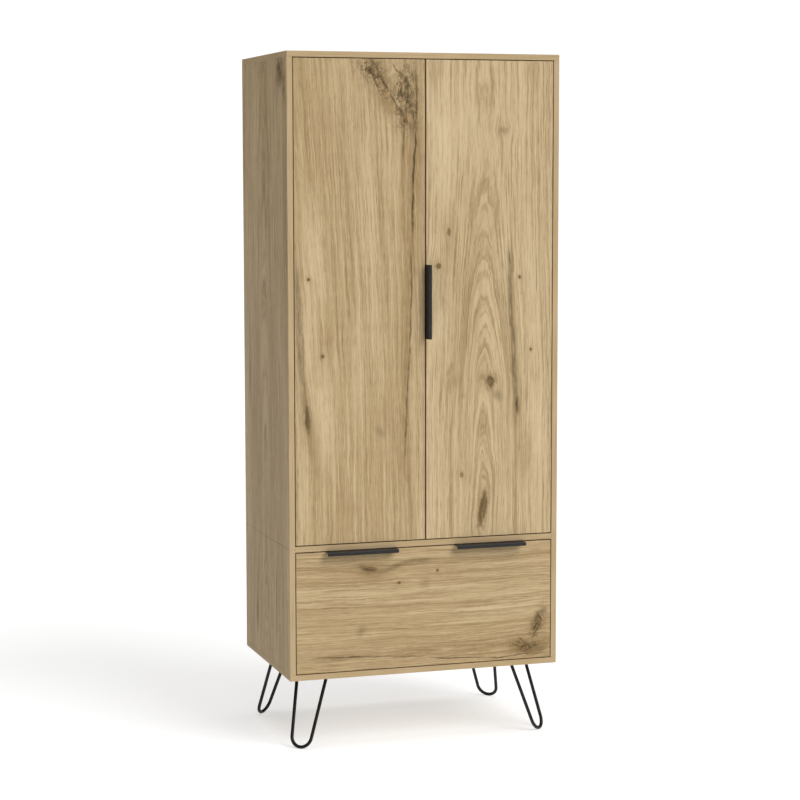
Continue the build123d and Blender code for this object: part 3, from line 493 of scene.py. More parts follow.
rightDoorMarks = {
    "pale": 0.16,
    "heart": (0.172, 0.055, 0.16, 1.7),
    "archesBelow": 1.46,
    "ringPitch": 190.0,
    "sway": 0.012,
    "glow": [(0.03, 1.9, 0.06, 1.42, 0.06, 0.7), (0.12, 1.9, 0.11, 1.55, 0.045, 0.4),
             (0.325, 1.55, 0.32, 1.1, 0.04, 0.45), (0.035, 1.25, 0.045, 1.1, 0.024, 0.5),
             (0.33, 1.05, 0.345, 0.7, 0.03, 0.5)],
    "knots": [
        (0.191, 1.013, 0.011, 0.015, 0.0, 0.6, 0.75),
        (0.041, 1.338, 0.009, 0.009, 0.0, 0.5, 0.85),
        (0.071, 1.431, 0.006, 0.012, 0.0, 0.5, 0.65),
        (0.226, 1.712, 0.014, 0.01, 0.0, 0.5, 0.28),
        (0.17, 0.655, 0.011, 0.05, -12.0, 0.6, 0.5),
        (0.278, 1.304, 0.0042, 0.005, 0.0, 0.3, 0.9),
        (0.309, 1.101, 0.0042, 0.005, 0.0, 0.3, 0.9),
        (0.107, 0.753, 0.006, 0.008, 0.0, 0.4, 0.6),
    ],
    "crazed": [(0.192, 1.008, 0.01, 0.014, 0.0, 0.75), (0.17, 0.65, 0.008, 0.04, -12.0, 0.6)],
    "warm": [(0.06, 1.05, 0.095, 0.98, 0.045, 0.38), (0.29, 0.95, 0.3, 0.66, 0.034, 0.35),
             (0.174, 0.74, 0.162, 0.6, 0.024, 0.5), (0.335, 1.6, 0.335, 1.2, 0.03, 0.18)]
    + chain([(0.25, 1.35), (0.262, 1.05), (0.274, 0.82)], 0.026, 0.42),
    "smoke": chain([(0.245, 1.4), (0.249, 1.27), (0.257, 1.125), (0.263, 1.02), (0.27, 0.9)], 0.012, 0.7)
    + [(0.2, 0.995, 0.228, 0.95, 0.022, 0.55), (0.062, 1.055, 0.084, 1.045, 0.028, 0.42),
       (0.18, 0.705, 0.16, 0.6, 0.015, 0.6), (0.218, 1.7, 0.24, 1.706, 0.018, 0.36),
       (0.1, 0.985, 0.118, 0.965, 0.014, 0.3), (0.268, 0.985, 0.272, 0.9, 0.01, 0.7)],
    "crack": chain([(0.178, 0.712), (0.174, 0.69), (0.163, 0.655), (0.159, 0.61)], 0.007, 0.9)
    + chain([(0.184, 0.69), (0.178, 0.66), (0.17, 0.62)], 0.004, 0.75)
    + chain([(0.184, 1.022), (0.191, 1.028), (0.199, 1.014), (0.194, 1.002), (0.186, 1.008)], 0.0036, 0.8)
    + [(0.245, 1.385, 0.246, 1.33, 0.003, 0.6), (0.327, 1.42, 0.33, 1.18, 0.0022, 0.55),
       (0.33, 1.18, 0.338, 0.95, 0.0018, 0.4), (0.268, 0.975, 0.271, 0.915, 0.005, 0.7)],
}

drawerMarks = {          # across is up here, along runs from left to right
    "heart": (0.262, 0.035, 0.03, 1.0),
    "knots": [
        (0.503, -0.163, 0.008, 0.02, 0.0, 0.7, 0.55),
        (0.489, 0.035, 0.004, 0.004, 0.0, 0.3, 0.9),
        (0.46, -0.078, 0.004, 0.005, 0.0, 0.3, 0.9),
        (0.25, 0.32, 0.018, 0.05, 0.0, 0.6, 0.35),
    ],
    "crazed": [(0.325, 0.338, 0.026, 0.011, 24.0, 0.95), (0.296, 0.326, 0.018, 0.01, 30.0, 0.8),
               (0.256, 0.302, 0.013, 0.026, 0.0, 1.0), (0.262, 0.268, 0.01, 0.016, 0.0, 0.6)],
    "warm": [(0.5, -0.22, 0.478, -0.1, 0.036, 0.5), (0.44, -0.02, 0.475, 0.02, 0.026, 0.34),
             (0.262, 0.22, 0.255, 0.36, 0.032, 0.6), (0.262, -0.36, 0.256, -0.1, 0.014, 0.5),
             (0.33, 0.34, 0.29, 0.34, 0.03, 0.5)],
    "smoke": chain([(0.516, -0.2), (0.497, -0.165), (0.493, -0.135), (0.501, -0.1), (0.517, -0.046),
                    (0.517, 0.03)], 0.0125, 0.62)
    + [(0.305, -0.206, 0.352, -0.172, 0.018, 0.42), (0.345, 0.335, 0.29, 0.32, 0.02, 0.5),
       (0.262, 0.24, 0.242, 0.33, 0.016, 0.55), (0.252, -0.36, 0.256, -0.12, 0.008, 0.45)],
    "crack": chain([(0.505, -0.185), (0.496, -0.16), (0.497, -0.14)], 0.0046, 0.8)
    + chain([(0.262, -0.33), (0.255, -0.2), (0.25, -0.07), (0.245, 0.0)], 0.003, 0.62)
    + chain([(0.24, 0.01), (0.233, 0.1), (0.227, 0.222), (0.233, 0.29), (0.231, 0.368)], 0.003, 0.75)
    + chain([(0.352, 0.332), (0.33, 0.345), (0.312, 0.33), (0.292, 0.322)], 0.0044, 0.9)
    + chain([(0.334, 0.352), (0.304, 0.336), (0.272, 0.318)], 0.0036, 0.85)
    + chain([(0.262, 0.258), (0.252, 0.29), (0.262, 0.318)], 0.0044, 0.9)
    + chain([(0.282, 0.276), (0.262, 0.3), (0.245, 0.322)], 0.0036, 0.85),
}

leftSideMarks = {
    "heart": (0.02, 0.06, 0.05, 1.0),
    "knots": [(0.195, 1.01, 0.008, 0.06, 0.0, 0.5, 0.35), (0.124, 0.33, 0.009, 0.045, 0.0, 0.5, 0.55)],
    "crazed": [(-0.16, 1.872, 0.02, 0.03, 25.0, 0.85), (-0.205, 1.825, 0.01, 0.024, 0.0, 0.8)],
    "warm": [(-0.2, 1.8, -0.21, 1.1, 0.03, 0.45), (-0.14, 1.9, -0.2, 1.82, 0.05, 0.5)],
    "smoke": [(-0.13, 1.9, -0.2, 1.83, 0.026, 0.6), (0.185, 1.32, 0.202, 0.85, 0.014, 0.45),
              (0.115, 0.55, 0.126, 0.25, 0.015, 0.5), (-0.1, 0.56, -0.087, 0.23, 0.008, 0.5),
              (-0.165, 0.56, -0.155, 0.23, 0.006, 0.4)],
    "crack": [(-0.215, 1.83, -0.225, 1.02, 0.0034, 0.55), (-0.098, 0.56, -0.087, 0.23, 0.003, 0.5),
              (0.121, 0.41, 0.126, 0.25, 0.005, 0.7), (-0.14, 1.9, -0.19, 1.845, 0.006, 0.75)],
}

rightSideMarks = {
    "heart": (-0.05, 0.07, 0.07, 1.0),
    "knots": [(0.06, 1.42, 0.01, 0.014, 0.0, 0.6, 0.8), (-0.11, 0.88, 0.007, 0.01, 0.0, 0.5, 0.7),
              (0.15, 0.42, 0.009, 0.022, 8.0, 0.5, 0.6)],
    "crazed": [(0.062, 1.424, 0.012, 0.018, 0.0, 0.7)],
    "warm": [(0.07, 1.39, 0.095, 0.95, 0.026, 0.45)],
    "smoke": [(0.055, 1.41, 0.08, 1.1, 0.013, 0.5), (0.15, 0.55, 0.152, 0.25, 0.012, 0.45)],
    "crack": [(0.062, 1.4, 0.082, 1.02, 0.0034, 0.6)],
}

innerMarks = {"heart": (0.05, 0.06, 0.03, 1.0), "knots": [(0.11, -0.12, 0.007, 0.012, 0.0, 0.5, 0.6)]}


# Other finishes

def blackPowderCoat(name, base, sheen):
    # fine orange peel, slightly rubbed in places
    material, tree, shader, place = startMaterial(name, **{"Specular IOR Level": 0.30})
    peel = noise(tree, place, 1900.0, 2.0, 0.6)
    cloud = noise(tree, place, 38.0, 3.0, 0.6)
    lighter = tuple(c * 1.7 for c in base[:3]) + (1.0,)
    colour = blendColours(tree, ramp(tree, cloud, 0.35, 0.75), base, lighter)
    surface(tree, shader, colour, (cloud, 0.3, 0.7, sheen, sheen + 0.12), peel, 0.00005)
    return material


def platedSteel(name, base, shadow, rough, grain=(60.0, 60.0, 60.0), spangle=0.0):
    # plated sheet: faint clouds, drawn scratches, and crystals where it is galvanised
    material, tree, shader, place = startMaterial(name, Metallic=1.0)
    drawn = vectors(tree, "MULTIPLY", place, grain)
    scratches = noise(tree, drawn, 8.0, 3.0, 0.6)
    cloud = noise(tree, place, 45.0, 3.0, 0.6)
    mix = times(tree, ramp(tree, cloud, 0.3, 0.7), 0.6)
    if spangle:
        cells = tree.nodes.new("ShaderNodeTexVoronoi")
        put(tree, cells.inputs["Vector"], place)
        cells.inputs["Scale"].default_value = spangle
        cell = separate(tree, cells.outputs["Color"])[0]
        mix = plus(tree, times(tree, mix, 0.6), times(tree, cell, 0.4))
    colour = blendColours(tree, mix, base, shadow)
    surface(tree, shader, colour, (scratches, 0.25, 0.75, rough, rough + 0.16), scratches, 0.00002)
    return material


def mouldedPlastic(name, base):
    material, tree, shader, place = startMaterial(name)
    skin = noise(tree, place, 1200.0, 2.0, 0.5)
    cloud = noise(tree, place, 30.0, 2.0, 0.5)
    darker = tuple(c * 0.8 for c in base[:3]) + (1.0,)
    colour = blendColours(tree, cloud, base, darker)
    surface(tree, shader, colour, (cloud, 0.3, 0.7, 0.38, 0.5), skin, 0.00003)
    return material


def pressedFibreboard(name, base, dark):
    # smooth face of thin hardboard, short fibres pressed into it
    material, tree, shader, place = startMaterial(name, **{"Specular IOR Level": 0.25})
    fibres = noise(tree, place, 420.0, 4.0, 0.65, 1.2)
    mat = noise(tree, place, 85.0, 4.0, 0.70, 0.6)
    cloud = noise(tree, place, 4.0, 2.0, 0.5)
    colour = blendColours(tree, ramp(tree, cloud, 0.3, 0.7, 0.0, 0.14), base, dark)
    colour = blendColours(tree, times(tree, ramp(tree, mat, 0.46, 0.66), 0.22), colour, dark)
    colour = blendColours(tree, times(tree, ramp(tree, fibres, 0.5, 0.75), 0.5), colour, dark)
    surface(tree, shader, colour, (fibres, 0.3, 0.7, 0.55, 0.75), fibres, 0.00008)
    return material


def beechWood(name):
    material, tree, shader, place = startMaterial(name)
    fibres = noise(tree, vectors(tree, "MULTIPLY", place, (900.0, 900.0, 60.0)), 1.0, 3.0, 0.6)
    colour = blendColours(tree, ramp(tree, fibres, 0.35, 0.7), tone(222, 190, 146), tone(190, 152, 108))
    surface(tree, shader, colour, (fibres, 0.3, 0.7, 0.5, 0.68), fibres, 0.00008)
    return material


finishes = {
    "handleSteel": blackPowderCoat("handleBlackCoat", tone(29, 28, 27), 0.46),
    "legSteel": blackPowderCoat("legBlackCoat", tone(12, 12, 12), 0.42),
    "blackScrews": blackPowderCoat("blackScrewFinish", tone(26, 26, 27), 0.34),
    "nickel": platedSteel("hingeNickel", tone(206, 203, 196), tone(172, 168, 160), 0.20, (30.0, 30.0, 160.0)),
    "pin": platedSteel("pinSteel", tone(176, 176, 174), tone(140, 140, 138), 0.24, (160.0, 160.0, 12.0)),
    "chrome": platedSteel("railChrome", tone(222, 222, 222), tone(196, 197, 198), 0.09, (6.0, 120.0, 120.0)),
    "castZinc": platedSteel("castZincFinish", tone(182, 182, 180), tone(150, 150, 147), 0.34),
    "runner": platedSteel("runnerZinc", tone(196, 198, 200), tone(160, 163, 166), 0.24, (40.0, 5.0, 140.0)),
    "cage": platedSteel("cageSteelFinish", tone(160, 158, 150), tone(120, 118, 112), 0.30, (60.0, 8.0, 60.0)),
    "galvanised": platedSteel("bracketZinc", tone(198, 200, 200), tone(150, 154, 156), 0.30, spangle=260.0),
    "zincScrews": platedSteel("zincScrewFinish", tone(206, 204, 196), tone(168, 165, 155), 0.24),
    "socket": mouldedPlastic("socketPlasticSkin", tone(196, 197, 198)),
    "hardboard": pressedFibreboard("hardboardFace", tone(178, 140, 98), tone(132, 97, 62)),
    "beech": beechWood("beechDowelWood"),
}
print("finishes made")

# Boards

boardEdge = {"radius": 0.0007, "segments": 2, "weld": 0.00002, "flatWithin": 0.4}


def ownCopy(node, name):
    # a welded copy of a CAD part, its flat faces joined
    mesh = nodes[node].data.copy()
    mesh.materials.clear()
    shape = bmesh.new()
    shape.from_mesh(mesh)
    bmesh.ops.remove_doubles(shape, verts=shape.verts, dist=boardEdge["weld"])
    bmesh.ops.dissolve_limit(shape, angle_limit=radians(boardEdge["flatWithin"]), verts=shape.verts,
                             use_dissolve_boundaries=False, edges=shape.edges)
    piece = addObject(name, mesh)
    return piece, shape


def boxOf(points):
    low, high = (Vector([limit(p[i] for p in points) for i in range(3)]) for limit in (min, max))
    return low, high, high - low


def outerEdges(shape):
    # edges that lie on the long edges of the board's own box
    low, high, _ = boxOf([v.co for v in shape.verts])

    def onBox(edge):
        sides = 0
        for i in range(3):
            a, b = (v.co[i] for v in edge.verts)
            sides += any(abs(a - limit) < 1e-5 and abs(b - limit) < 1e-5 for limit in (low[i], high[i]))
        return sides >= 2

    return [e for e in shape.edges if onBox(e)]


def finishShape(piece, shape, smoothAngle=30.0):
    for face in shape.faces:
        face.smooth = True
    shape.to_mesh(piece.data)
    shape.free()
    piece.data.set_sharp_from_angle(angle=radians(smoothAngle))


def bakeModifiers(piece):
    # applies the modifiers, and leaves none
    bpy.context.view_layer.update()
    made = bpy.data.meshes.new_from_object(piece.evaluated_get(bpy.context.evaluated_depsgraph_get()))
    old = piece.data
    piece.modifiers.clear()
    piece.data = made
    made.name = piece.name
    bpy.data.meshes.remove(old)


def evenShading(piece):
    # large flat faces keep their own direction beside the narrow eased edges
    weighted = piece.modifiers.new("evenShading", "WEIGHTED_NORMAL")
    weighted.keep_sharp = True
    bakeModifiers(piece)


def roundedBoard(node, name, body, faceAxis, faceMaterial, edgeMaterial):
    # a board with its edges eased; decor on its two faces, edging on its narrow sides
    piece, shape = ownCopy(node, name)
    bmesh.ops.bevel(shape, geom=outerEdges(shape), offset=boardEdge["radius"], segments=boardEdge["segments"],
                    profile=0.5, affect="EDGES", clamp_overlap=True)
    shape.normal_update()
    axis = "xyz".index(faceAxis)
    for face in shape.faces:
        face.material_index = 0 if abs(face.normal[axis]) > 0.8 else 1
    piece.data.materials.append(faceMaterial)
    piece.data.materials.append(edgeMaterial)
    finishShape(piece, shape)
    evenShading(piece)
    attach(piece, body)
    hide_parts(node)
    return piece


edgingUpright = oakEdging("oakEdgingUpright", "Z")
edgingLevel = oakEdging("oakEdgingLevel", "X")
oakInner = oakFace("oakInnerBoards", "Y", "X", innerMarks, 4.0)

leftDoorOak = oakFace("oakLeftDoor", "X", "Z", leftDoorMarks, 0.3)
rightDoorOak = oakFace("oakRightDoor", "X", "Z", rightDoorMarks, 1.9)
drawerOak = oakFace("oakDrawerFront", "Z", "X", drawerMarks, 2.7)
leftSideOak = oakFace("oakLeftSide", "Y", "Z", leftSideMarks, 3.6)      # one figure over both boards
rightSideOak = oakFace("oakRightSide", "Y", "Z", rightSideMarks, 5.2)
boards = [
    ("door_left", "leftDoorPanel", "left_door", "y", leftDoorOak, edgingUpright),
    ("door_right", "rightDoorPanel", "right_door", "y", rightDoorOak, edgingUpright),
    ("drawer_front", "drawerFrontPanel", "drawer", "y", drawerOak, edgingLevel),
    ("upper_side_left", "upperLeftSide", "carcass", "x", leftSideOak, edgingUpright),
    ("lower_side_left", "lowerLeftSide", "carcass", "x", leftSideOak, edgingUpright),
    ("upper_side_right", "upperRightSide", "carcass", "x", rightSideOak, edgingUpright),
    ("lower_side_right", "lowerRightSide", "carcass", "x", rightSideOak, edgingUpright),
]
levelBoards = (("top_panel", "topBoard"), ("bottom_panel", "bottomBoard"), ("middle_panel", "middleBoard"),
               ("hat_shelf", "hatShelfBoard"))
boards += [(node, name, "carcass", "z", oakInner, edgingLevel) for node, name in levelBoards]
for node, name, body, faceAxis, faceMaterial, edgeMaterial in boards:
    roundedBoard(node, name, body, faceAxis, faceMaterial, edgeMaterial)
print("boards done")

# Sheet metal and small parts: welded copies with their sharp edges eased
def easeEdges(piece, width):
    ease = piece.modifiers.new("ease", "BEVEL")
    ease.width = width
    ease.segments = 2
    ease.limit_method = "ANGLE"
    ease.angle_limit = radians(metalEdge["sharperThan"])
    ease.use_clamp_overlap = True
    plainMesh(piece)


def easedPart(node, name, body, material, width):
    piece, shape = ownCopy(node, name)
    finishShape(piece, shape)
    piece.data.materials.append(material)
    easeEdges(piece, width)
    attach(piece, body)
    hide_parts(node)
    return piece


def plainMesh(piece, smoothAngle=35.0):
    bakeModifiers(piece)
    piece.data.set_sharp_from_angle(angle=radians(smoothAngle))
    evenShading(piece)


metalEdge = {"pull": 0.00035, "small": 0.0002, "sharperThan": 38.0}
pulls = (("door_handle", "doorPull", "right_door"), ("drawer_handle_left", "drawerPullLeft", "drawer"),
         ("drawer_handle_right", "drawerPullRight", "drawer"))
for node, name, body in pulls:
    easedPart(node, name, body, finishes["handleSteel"], metalEdge["pull"])

metalParts = [
    ("hinge_plates", "hingePlates", "carcass", "hinge_nickel", "nickel"),
    ("corner_brackets", "cornerBrackets", "carcass", "bracket_zinc", "galvanised"),
    ("wall_brackets", "wallBrackets", "carcass", "bracket_zinc", "galvanised"),
    ("rail_sockets", "railSockets", "carcass", "socket_plastic", "socket"),
]
runnerBodies = {"cabinet": "carcass", "middle": "runner_middles", "drawer": "drawer"}
for side in ("left", "right"):
    hand = side.title()
    metalParts.append((f"hinge_cups_{side}", f"hingeCups{hand}", f"{side}_door", "hinge_nickel", "nickel"))
    for part, body in runnerBodies.items():
        metalParts.append((f"runner_{part}_{side}", f"runner{part.title()}{hand}",
                           body, "runner_steel", "runner"))
    for level in ("low", "middle", "high"):
        metalParts.append((f"hinge_arm_{side}_{level}", f"hingeArm{hand}{level.title()}",
                           "carcass", "hinge_nickel", "nickel"))
for node, name, body, slot, finish in metalParts:
    easedPart(node, name, body, finishes[finish], metalEdge["small"])
print("metal parts done")

# CAD parts that keep their own shape and take a finish
drawerHeart = (0.34, 0.05, 0.04, 1.0)
drawerSideMarks = {"heart": drawerHeart, "knots": [(0.39, 0.05, 0.004, 0.008, 0.0, 0.5, 0.6)]}
drawerWood = oakFace("oakDrawerSides", "Z", "Y", drawerSideMarks, 6.4)
drawerBackWood = oakFace("oakDrawerBack", "Z", "X", {"heart": drawerHeart}, 7.1)
plainFinishes = {
    "hanging_rail": finishes["chrome"],
    "back_panel_upper": finishes["hardboard"],
    "back_panel_lower": finishes["hardboard"],
    "drawer_bottom": finishes["hardboard"],
    "drawer_side_left": drawerWood,
    "drawer_side_right": drawerWood,
    "drawer_back": drawerBackWood,
    "dowels": finishes["beech"],
    "cam_locks": finishes["castZinc"],
    "drawer_cam_fittings": finishes["castZinc"],
    "cam_bolts": finishes["zincScrews"],
    "hinge_pins_left": finishes["pin"],
    "hinge_pins_right": finishes["pin"],
    "shelf_pins": finishes["galvanised"],
}
for node, material in plainFinishes.items():
    nodes[node].data.materials.clear()
    nodes[node].data.materials.append(material)


# Geometry Nodes
def newGeometryTree(name, floats=(), others=()):
    tree = bpy.data.node_groups.new(name, "GeometryNodeTree")
    tree.interface.new_socket("Geometry", in_out="INPUT", socket_type="NodeSocketGeometry")
    for label, value in floats:
        socket = tree.interface.new_socket(label, in_out="INPUT", socket_type="NodeSocketFloat")
        socket.default_value = value
    for label, kind in others:
        tree.interface.new_socket(label, in_out="INPUT", socket_type=kind)
    tree.interface.new_socket("Geometry", in_out="OUTPUT", socket_type="NodeSocketGeometry")
    return tree, tree.nodes.new("NodeGroupInput").outputs, tree.nodes.new("NodeGroupOutput").inputs


def geoNode(tree, kind, **inputs):
    node = tree.nodes.new("GeometryNode" + kind)
    for name, value in inputs.items():
        put(tree, node.inputs[name.replace("_", " ")], value)
    return node


def runTree(piece, tree, **values):
    # sets the inputs by their identifiers, evaluates, and leaves a plain mesh
    modifier = piece.modifiers.new(tree.name, "NODES")
    modifier.node_group = tree
    for item in tree.interface.items_tree:
        if item.item_type == "SOCKET" and item.in_out == "INPUT" and item.name in values:
            modifier[item.identifier] = values[item.name]
    plainMesh(piece)


def paintTree(tree, last, given, result):
    # makes the instances real and gives them their finish
    real = geoNode(tree, "RealizeInstances", Geometry=last)
    painted = geoNode(tree, "SetMaterial", Geometry=real.outputs[0], Material=given["Finish"])
    tree.links.new(painted.outputs[0], result["Geometry"])
    return tree


def islands(node):
    # the separate solids of a CAD part, as lists of points
    shape = bmesh.new()
    shape.from_mesh(nodes[node].data)
    bmesh.ops.remove_doubles(shape, verts=shape.verts, dist=boardEdge["weld"])
    left, groups = set(shape.verts), []
    while left:
        front, group = [left.pop()], []
        while front:
            vertex = front.pop()
            group.append(vertex.co.copy())
            for edge in vertex.link_edges:
                other = edge.other_vert(vertex)
                if other in left:
                    left.remove(other)
                    front.append(other)
        groups.append(group)
    shape.free()
    return sorted(groups, key=lambda g: tuple(round(c, 4) for c in g[0]))


def screwPlaces(node):
    # for each screw: the outer face of its head, the way it is driven, and its sizes
    found = []
    for points in islands(node):
        low, high, size = boxOf(points)
        axis = max(range(3), key=lambda i: size[i])
        middle = (low + high) / 2
        along = Vector([float(i == axis) for i in range(3)])
        radial = [((p - middle) - along * (p - middle)[axis]).length for p in points]
        headRadius = max(radial)
        rim = [p[axis] for p, r in zip(points, radial) if r > headRadius * 0.95]
        headAtHigh = sum(rim) / len(rim) > middle[axis]
        shank = min(r for r in radial if r > headRadius * 0.2)
        aim = Vector((0.0, 0.0, 0.0))
        aim[axis] = -1.0 if headAtHigh else 1.0
        start = middle.copy()
        start[axis] = high[axis] if headAtHigh else low[axis]
        found.append((start, aim, headRadius, max(rim) - min(rim), size[axis], shank))
    return found


def screwTree():
    # pan head with a cross recess on a plain shank, set at each point of the mesh
    sizes = (("Head radius", 0.0035), ("Head height", 0.0018), ("Shank radius", 0.00175), ("Length", 0.015))
    tree, given, result = newGeometryTree("crossScrews", sizes, (("Finish", "NodeSocketMaterial"),))
    high, radius = given["Head height"], given["Head radius"]

    def block(wide, long, tall):
        size = combine(tree, times(tree, radius, wide), times(tree, radius, long), times(tree, high, tall))
        return geoNode(tree, "MeshCube", Size=size).outputs["Mesh"]

    def raised(shape, height, **more):
        up = combine(tree, 0.0, 0.0, height)
        return geoNode(tree, "Transform", Geometry=shape, Translation=up, **more).outputs[0]

    ball = geoNode(tree, "MeshUVSphere", Segments=20, Rings=10, Radius=1.0)
    dome = raised(ball.outputs["Mesh"], high, Scale=combine(tree, radius, radius, high))
    carve = geoNode(tree, "MeshBoolean")
    carve.operation = "DIFFERENCE"
    carve.solver = "EXACT"
    put(tree, carve.inputs["Mesh 1"], dome)
    lowerHalf = raised(block(4.0, 4.0, 4.0), times(tree, high, 3.0))
    for tool in (lowerHalf, block(0.26, 1.2, 1.2), block(1.2, 0.26, 1.2)):
        tree.links.new(tool, carve.inputs["Mesh 2"])
    depth = minus(tree, given["Length"], high)
    shank = geoNode(tree, "MeshCylinder", Vertices=14, Radius=given["Shank radius"], Depth=depth)
    half = times(tree, plus(tree, given["Length"], high), 0.5)
    screw = geoNode(tree, "JoinGeometry")
    tree.links.new(carve.outputs["Mesh"], screw.inputs[0])
    tree.links.new(raised(shank.outputs["Mesh"], half), screw.inputs[0])
    aim = geoNode(tree, "InputNamedAttribute")
    aim.data_type = "FLOAT_VECTOR"
    aim.inputs["Name"].default_value = "aim"
    turn = tree.nodes.new("FunctionNodeAlignRotationToVector")
    turn.axis = "Z"
    tree.links.new(aim.outputs["Attribute"], turn.inputs["Vector"])
    spread = geoNode(tree, "InstanceOnPoints", Points=given["Geometry"], Instance=screw.outputs[0])
    tree.links.new(turn.outputs[0], spread.inputs["Rotation"])
    return paintTree(tree, spread.outputs[0], given, result)


def pointCloud(name, places, aims):
    mesh = bpy.data.meshes.new(name)
    mesh.from_pydata([tuple(p) for p in places], [], [])
    attribute = mesh.attributes.new("aim", "FLOAT_VECTOR", "POINT")
    attribute.data.foreach_set("vector", [c for aim in aims for c in aim])
    return addObject(name, mesh)


screws = {
    "chipboard_screws": ("chipboardScrews", "carcass"),
    "euro_screws": ("euroScrews", "carcass"),
    "hinge_cup_screws_left": ("hingeCupScrewsLeft", "left_door"),
    "hinge_cup_screws_right": ("hingeCupScrewsRight", "right_door"),
    "hinge_adjusters": ("hingeAdjusterScrews", "carcass"),
    "door_handle_screws": ("doorPullScrews", "right_door"),
    "drawer_handle_screws": ("drawerPullScrews", "drawer"),
    "drawer_runner_screws": ("drawerRunnerScrews", "drawer"),
    "leg_screws": ("legScrews", "carcass", "black_screws", "blackScrews"),
}
screwMaker = screwTree()
for node, (name, body, *own) in screws.items():
    slot, finish = own or ("zinc_screws", "zincScrews")
    places = screwPlaces(node)
    _, _, headRadius, headHeight, length, shank = places[0]
    piece = pointCloud(name, [p[0] for p in places], [p[1] for p in places])
    runTree(piece, screwMaker, **{"Head radius": headRadius, "Head height": headHeight, "Shank radius": shank,
                                  "Length": length, "Finish": finishes[finish]})
    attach(piece, body)
    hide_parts(node)
    print(name, len(places), "screws")


# Hairpin legs: two strands and the bend from one rule, on a screwed plate
leg = {
    "height": 0.200,
    "rodRadius": 0.00475,
    "footInset": 0.036,      # from the carcass edges to the lowest point of the rod
    "bendRadius": 0.031,
    "splay": 20.0,
    "strandHalf": 0.047,
    "plate": 0.003,
    "plateCorners": ((0.030, 0.030), (0.140, 0.030), (0.140, 0.062), (0.062, 0.140), (0.030, 0.140)),
    "screwHoles": ((0.043, 0.043), (0.128, 0.040), (0.040, 0.128), (0.088, 0.088)),
    "holeRadius": 0.0022,
    "plateRound": 0.005,
    "plateEase": 0.0003,
    "weld": ((0.0045, -0.0001), (0.0026, 0.0010), (0.0012, 0.0021), (-0.0004, 0.0030)),   # drop, wider
}


def hairpinTree():
    sizes = (("Strand half", 0.047), ("Strand length", 0.207), ("Bend radius", 0.031),
             ("Rod radius", 0.00475))
    others = (("Foot", "NodeSocketVector"), ("Lean", "NodeSocketVector"), ("Finish", "NodeSocketMaterial"))
    tree, given, result = newGeometryTree("hairpinRod", sizes, others)
    half, length, bend = given["Strand half"], given["Strand length"], given["Bend radius"]
    rise = minus(tree, length, bend)
    squares = plus(tree, times(tree, half, half), times(tree, rise, rise))
    reach = maths(tree, "SQRT", squares)
    opening = minus(tree, maths(tree, "ARCCOSINE", maths(tree, "DIVIDE", bend, reach)),
                    maths(tree, "ARCTAN2", rise, half))
    apex = minus(tree, bend, maths(tree, "DIVIDE", bend, maths(tree, "SINE", opening)))
    leftTop = combine(tree, times(tree, half, -1.0), 0.0, length)
    rightTop = combine(tree, half, 0.0, length)
    line = geoNode(tree, "CurvePrimitiveLine", Start=leftTop, End=rightTop)
    cuts = geoNode(tree, "SubdivideCurve", Curve=line.outputs[0], Cuts=1)
    index = geoNode(tree, "InputIndex").outputs[0]
    isMiddle = tree.nodes.new("FunctionNodeCompare")
    isMiddle.data_type = "INT"
    isMiddle.operation = "EQUAL"
    tree.links.new(index, isMiddle.inputs[2])
    isMiddle.inputs[3].default_value = 1
    tip = combine(tree, 0.0, 0.0, apex)
    moved = geoNode(tree, "SetPosition", Geometry=cuts.outputs[0], Position=tip)
    tree.links.new(isMiddle.outputs[0], moved.inputs["Selection"])
    rounded = geoNode(tree, "FilletCurve")
    rounded.mode = "POLY"
    put(tree, rounded.inputs["Curve"], moved.outputs[0])
    put(tree, rounded.inputs["Count"], 26)
    put(tree, rounded.inputs["Radius"], bend)
    ring = geoNode(tree, "CurvePrimitiveCircle", Resolution=20, Radius=given["Rod radius"])
    rod = geoNode(tree, "CurveToMesh", Curve=rounded.outputs[0], Profile_Curve=ring.outputs[0])
    rod.inputs["Fill Caps"].default_value = True
    placed = geoNode(tree, "Transform", Geometry=rod.outputs[0], Translation=given["Foot"],
                     Rotation=given["Lean"])
    smooth = geoNode(tree, "SetShadeSmooth", Geometry=placed.outputs[0])
    return paintTree(tree, smooth.outputs[0], given, result)


def bridge(shape, lower, upper):
    for i in range(len(lower)):
        j = (i + 1) % len(lower)
        shape.faces.new((lower[i], lower[j], upper[j], upper[i]))


